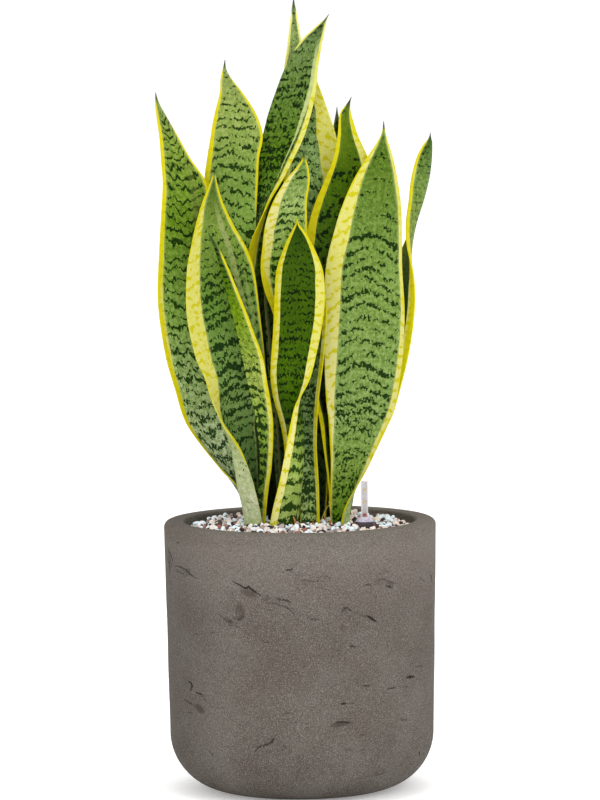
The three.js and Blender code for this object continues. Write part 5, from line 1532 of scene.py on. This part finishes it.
def straw_pieces():
    """Thin dried straws at the leaf bases."""
    material = dry_material("dried_straw", (150, 128, 40), (182, 160, 62), (206, 190, 110))
    half = STRAW_THICKNESS / 2
    for number, points in enumerate(STRAWS):
        heights = [point[2] for point in points]
        vertices = []
        for z in np.linspace(heights[0], heights[-1], STRAW_ROWS):
            x, y = [np.interp(z, heights, [point[axis] for point in points]) for axis in (0, 1)]
            for side in range(STRAW_SIDES):
                turn = 2 * math.pi * side / STRAW_SIDES
                vertices.append((x + half * math.cos(turn), y + half * math.sin(turn), z))
        dress(rod_mesh(f"straw_{number + 1}", vertices, STRAW_ROWS), material, BODY)


def color_rhizome():
    """The root stock keeps its CAD solid and gets a material."""
    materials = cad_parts["rhizome"].data.materials
    materials.clear()
    colors = [(120, 82, 44), (176, 132, 78), (206, 166, 112)]
    materials.append(shaded_material("root", colors, (0.06, 0.06, 0.3), detail=4, relief=1.2, strength=0.8))


def make_camera():
    """The photo's camera: a long lens, turned a little about its line of sight."""
    data = bpy.data.cameras.new("camera")
    data.sensor_fit = "VERTICAL"
    data.sensor_height = SENSOR
    data.lens = FOCAL_PIXELS / FRAME_PIXELS * SENSOR
    data.clip_start = 0.1
    data.clip_end = 100
    camera = bpy.data.objects.new("camera", data)
    bpy.context.scene.collection.objects.link(camera)
    rise = math.radians(CAMERA_ELEVATION)
    roll = math.radians(CAMERA_ROLL)
    back = Vector((0, -math.cos(rise), math.sin(rise)))
    right = Vector((1, 0, 0))
    up = right.cross(-back)
    level_right = right * math.cos(roll) + up * math.sin(roll)
    level_up = up * math.cos(roll) - right * math.sin(roll)
    turn = Matrix((level_right, level_up, back)).transposed()
    place = Vector(CAMERA_AIM) * MM + back * CAMERA_DISTANCE * MM
    camera.matrix_world = Matrix.Translation(place) @ turn.to_4x4()
    bpy.context.scene.camera = camera


def make_light(name, place, size, power):
    """A round soft light that faces the plant."""
    data = bpy.data.lights.new(name, "AREA")
    data.shape = "DISK"
    data.size = size
    data.energy = power
    light = bpy.data.objects.new(name, data)
    bpy.context.scene.collection.objects.link(light)
    light.location = place
    light.rotation_euler = (Vector(LIGHT_AIM) - Vector(place)).to_track_quat("-Z", "Y").to_euler()


def make_studio():
    """Pale floor, white surroundings and soft lights."""
    scene = bpy.context.scene
    world = bpy.data.worlds.new("studio")
    world.use_nodes = True
    world.node_tree.nodes["Background"].inputs["Color"].default_value = (1, 1, 1, 1)
    world.node_tree.nodes["Background"].inputs["Strength"].default_value = WORLD_STRENGTH
    scene.world = world
    scene.view_settings.view_transform = "Standard"
    scene.view_settings.look = "None"
    corners = [(-1, -1), (1, -1), (1, 1), (-1, 1)]
    floor = make_mesh("floor", [(x * FLOOR_REACH, y * FLOOR_REACH, 0) for x, y in corners], [(0, 1, 2, 3)],
                      smooth=False)
    g = Graph("floor")
    place = g.node("ShaderNodeTexCoord").outputs["Object"]
    g.set(Base_Color=g.mix(g.noise(place, scale=3.0), linear((253, 253, 253)), linear((251, 251, 251))),
          Roughness=0.9, Specular_IOR_Level=0.1, Emission_Color=(1, 1, 1, 1), Emission_Strength=FLOOR_GLOW)
    floor.data.materials.append(g.material)
    for light in LIGHTS:
        make_light(*light)


make_camera()
make_studio()
for number, leaf_name in enumerate(LEAVES):
    leaf_piece(leaf_name, number)
pot_piece()
gravel_pieces()
fill_piece()
gauge_pieces()
sheath_pieces()
straw_pieces()
color_rhizome()
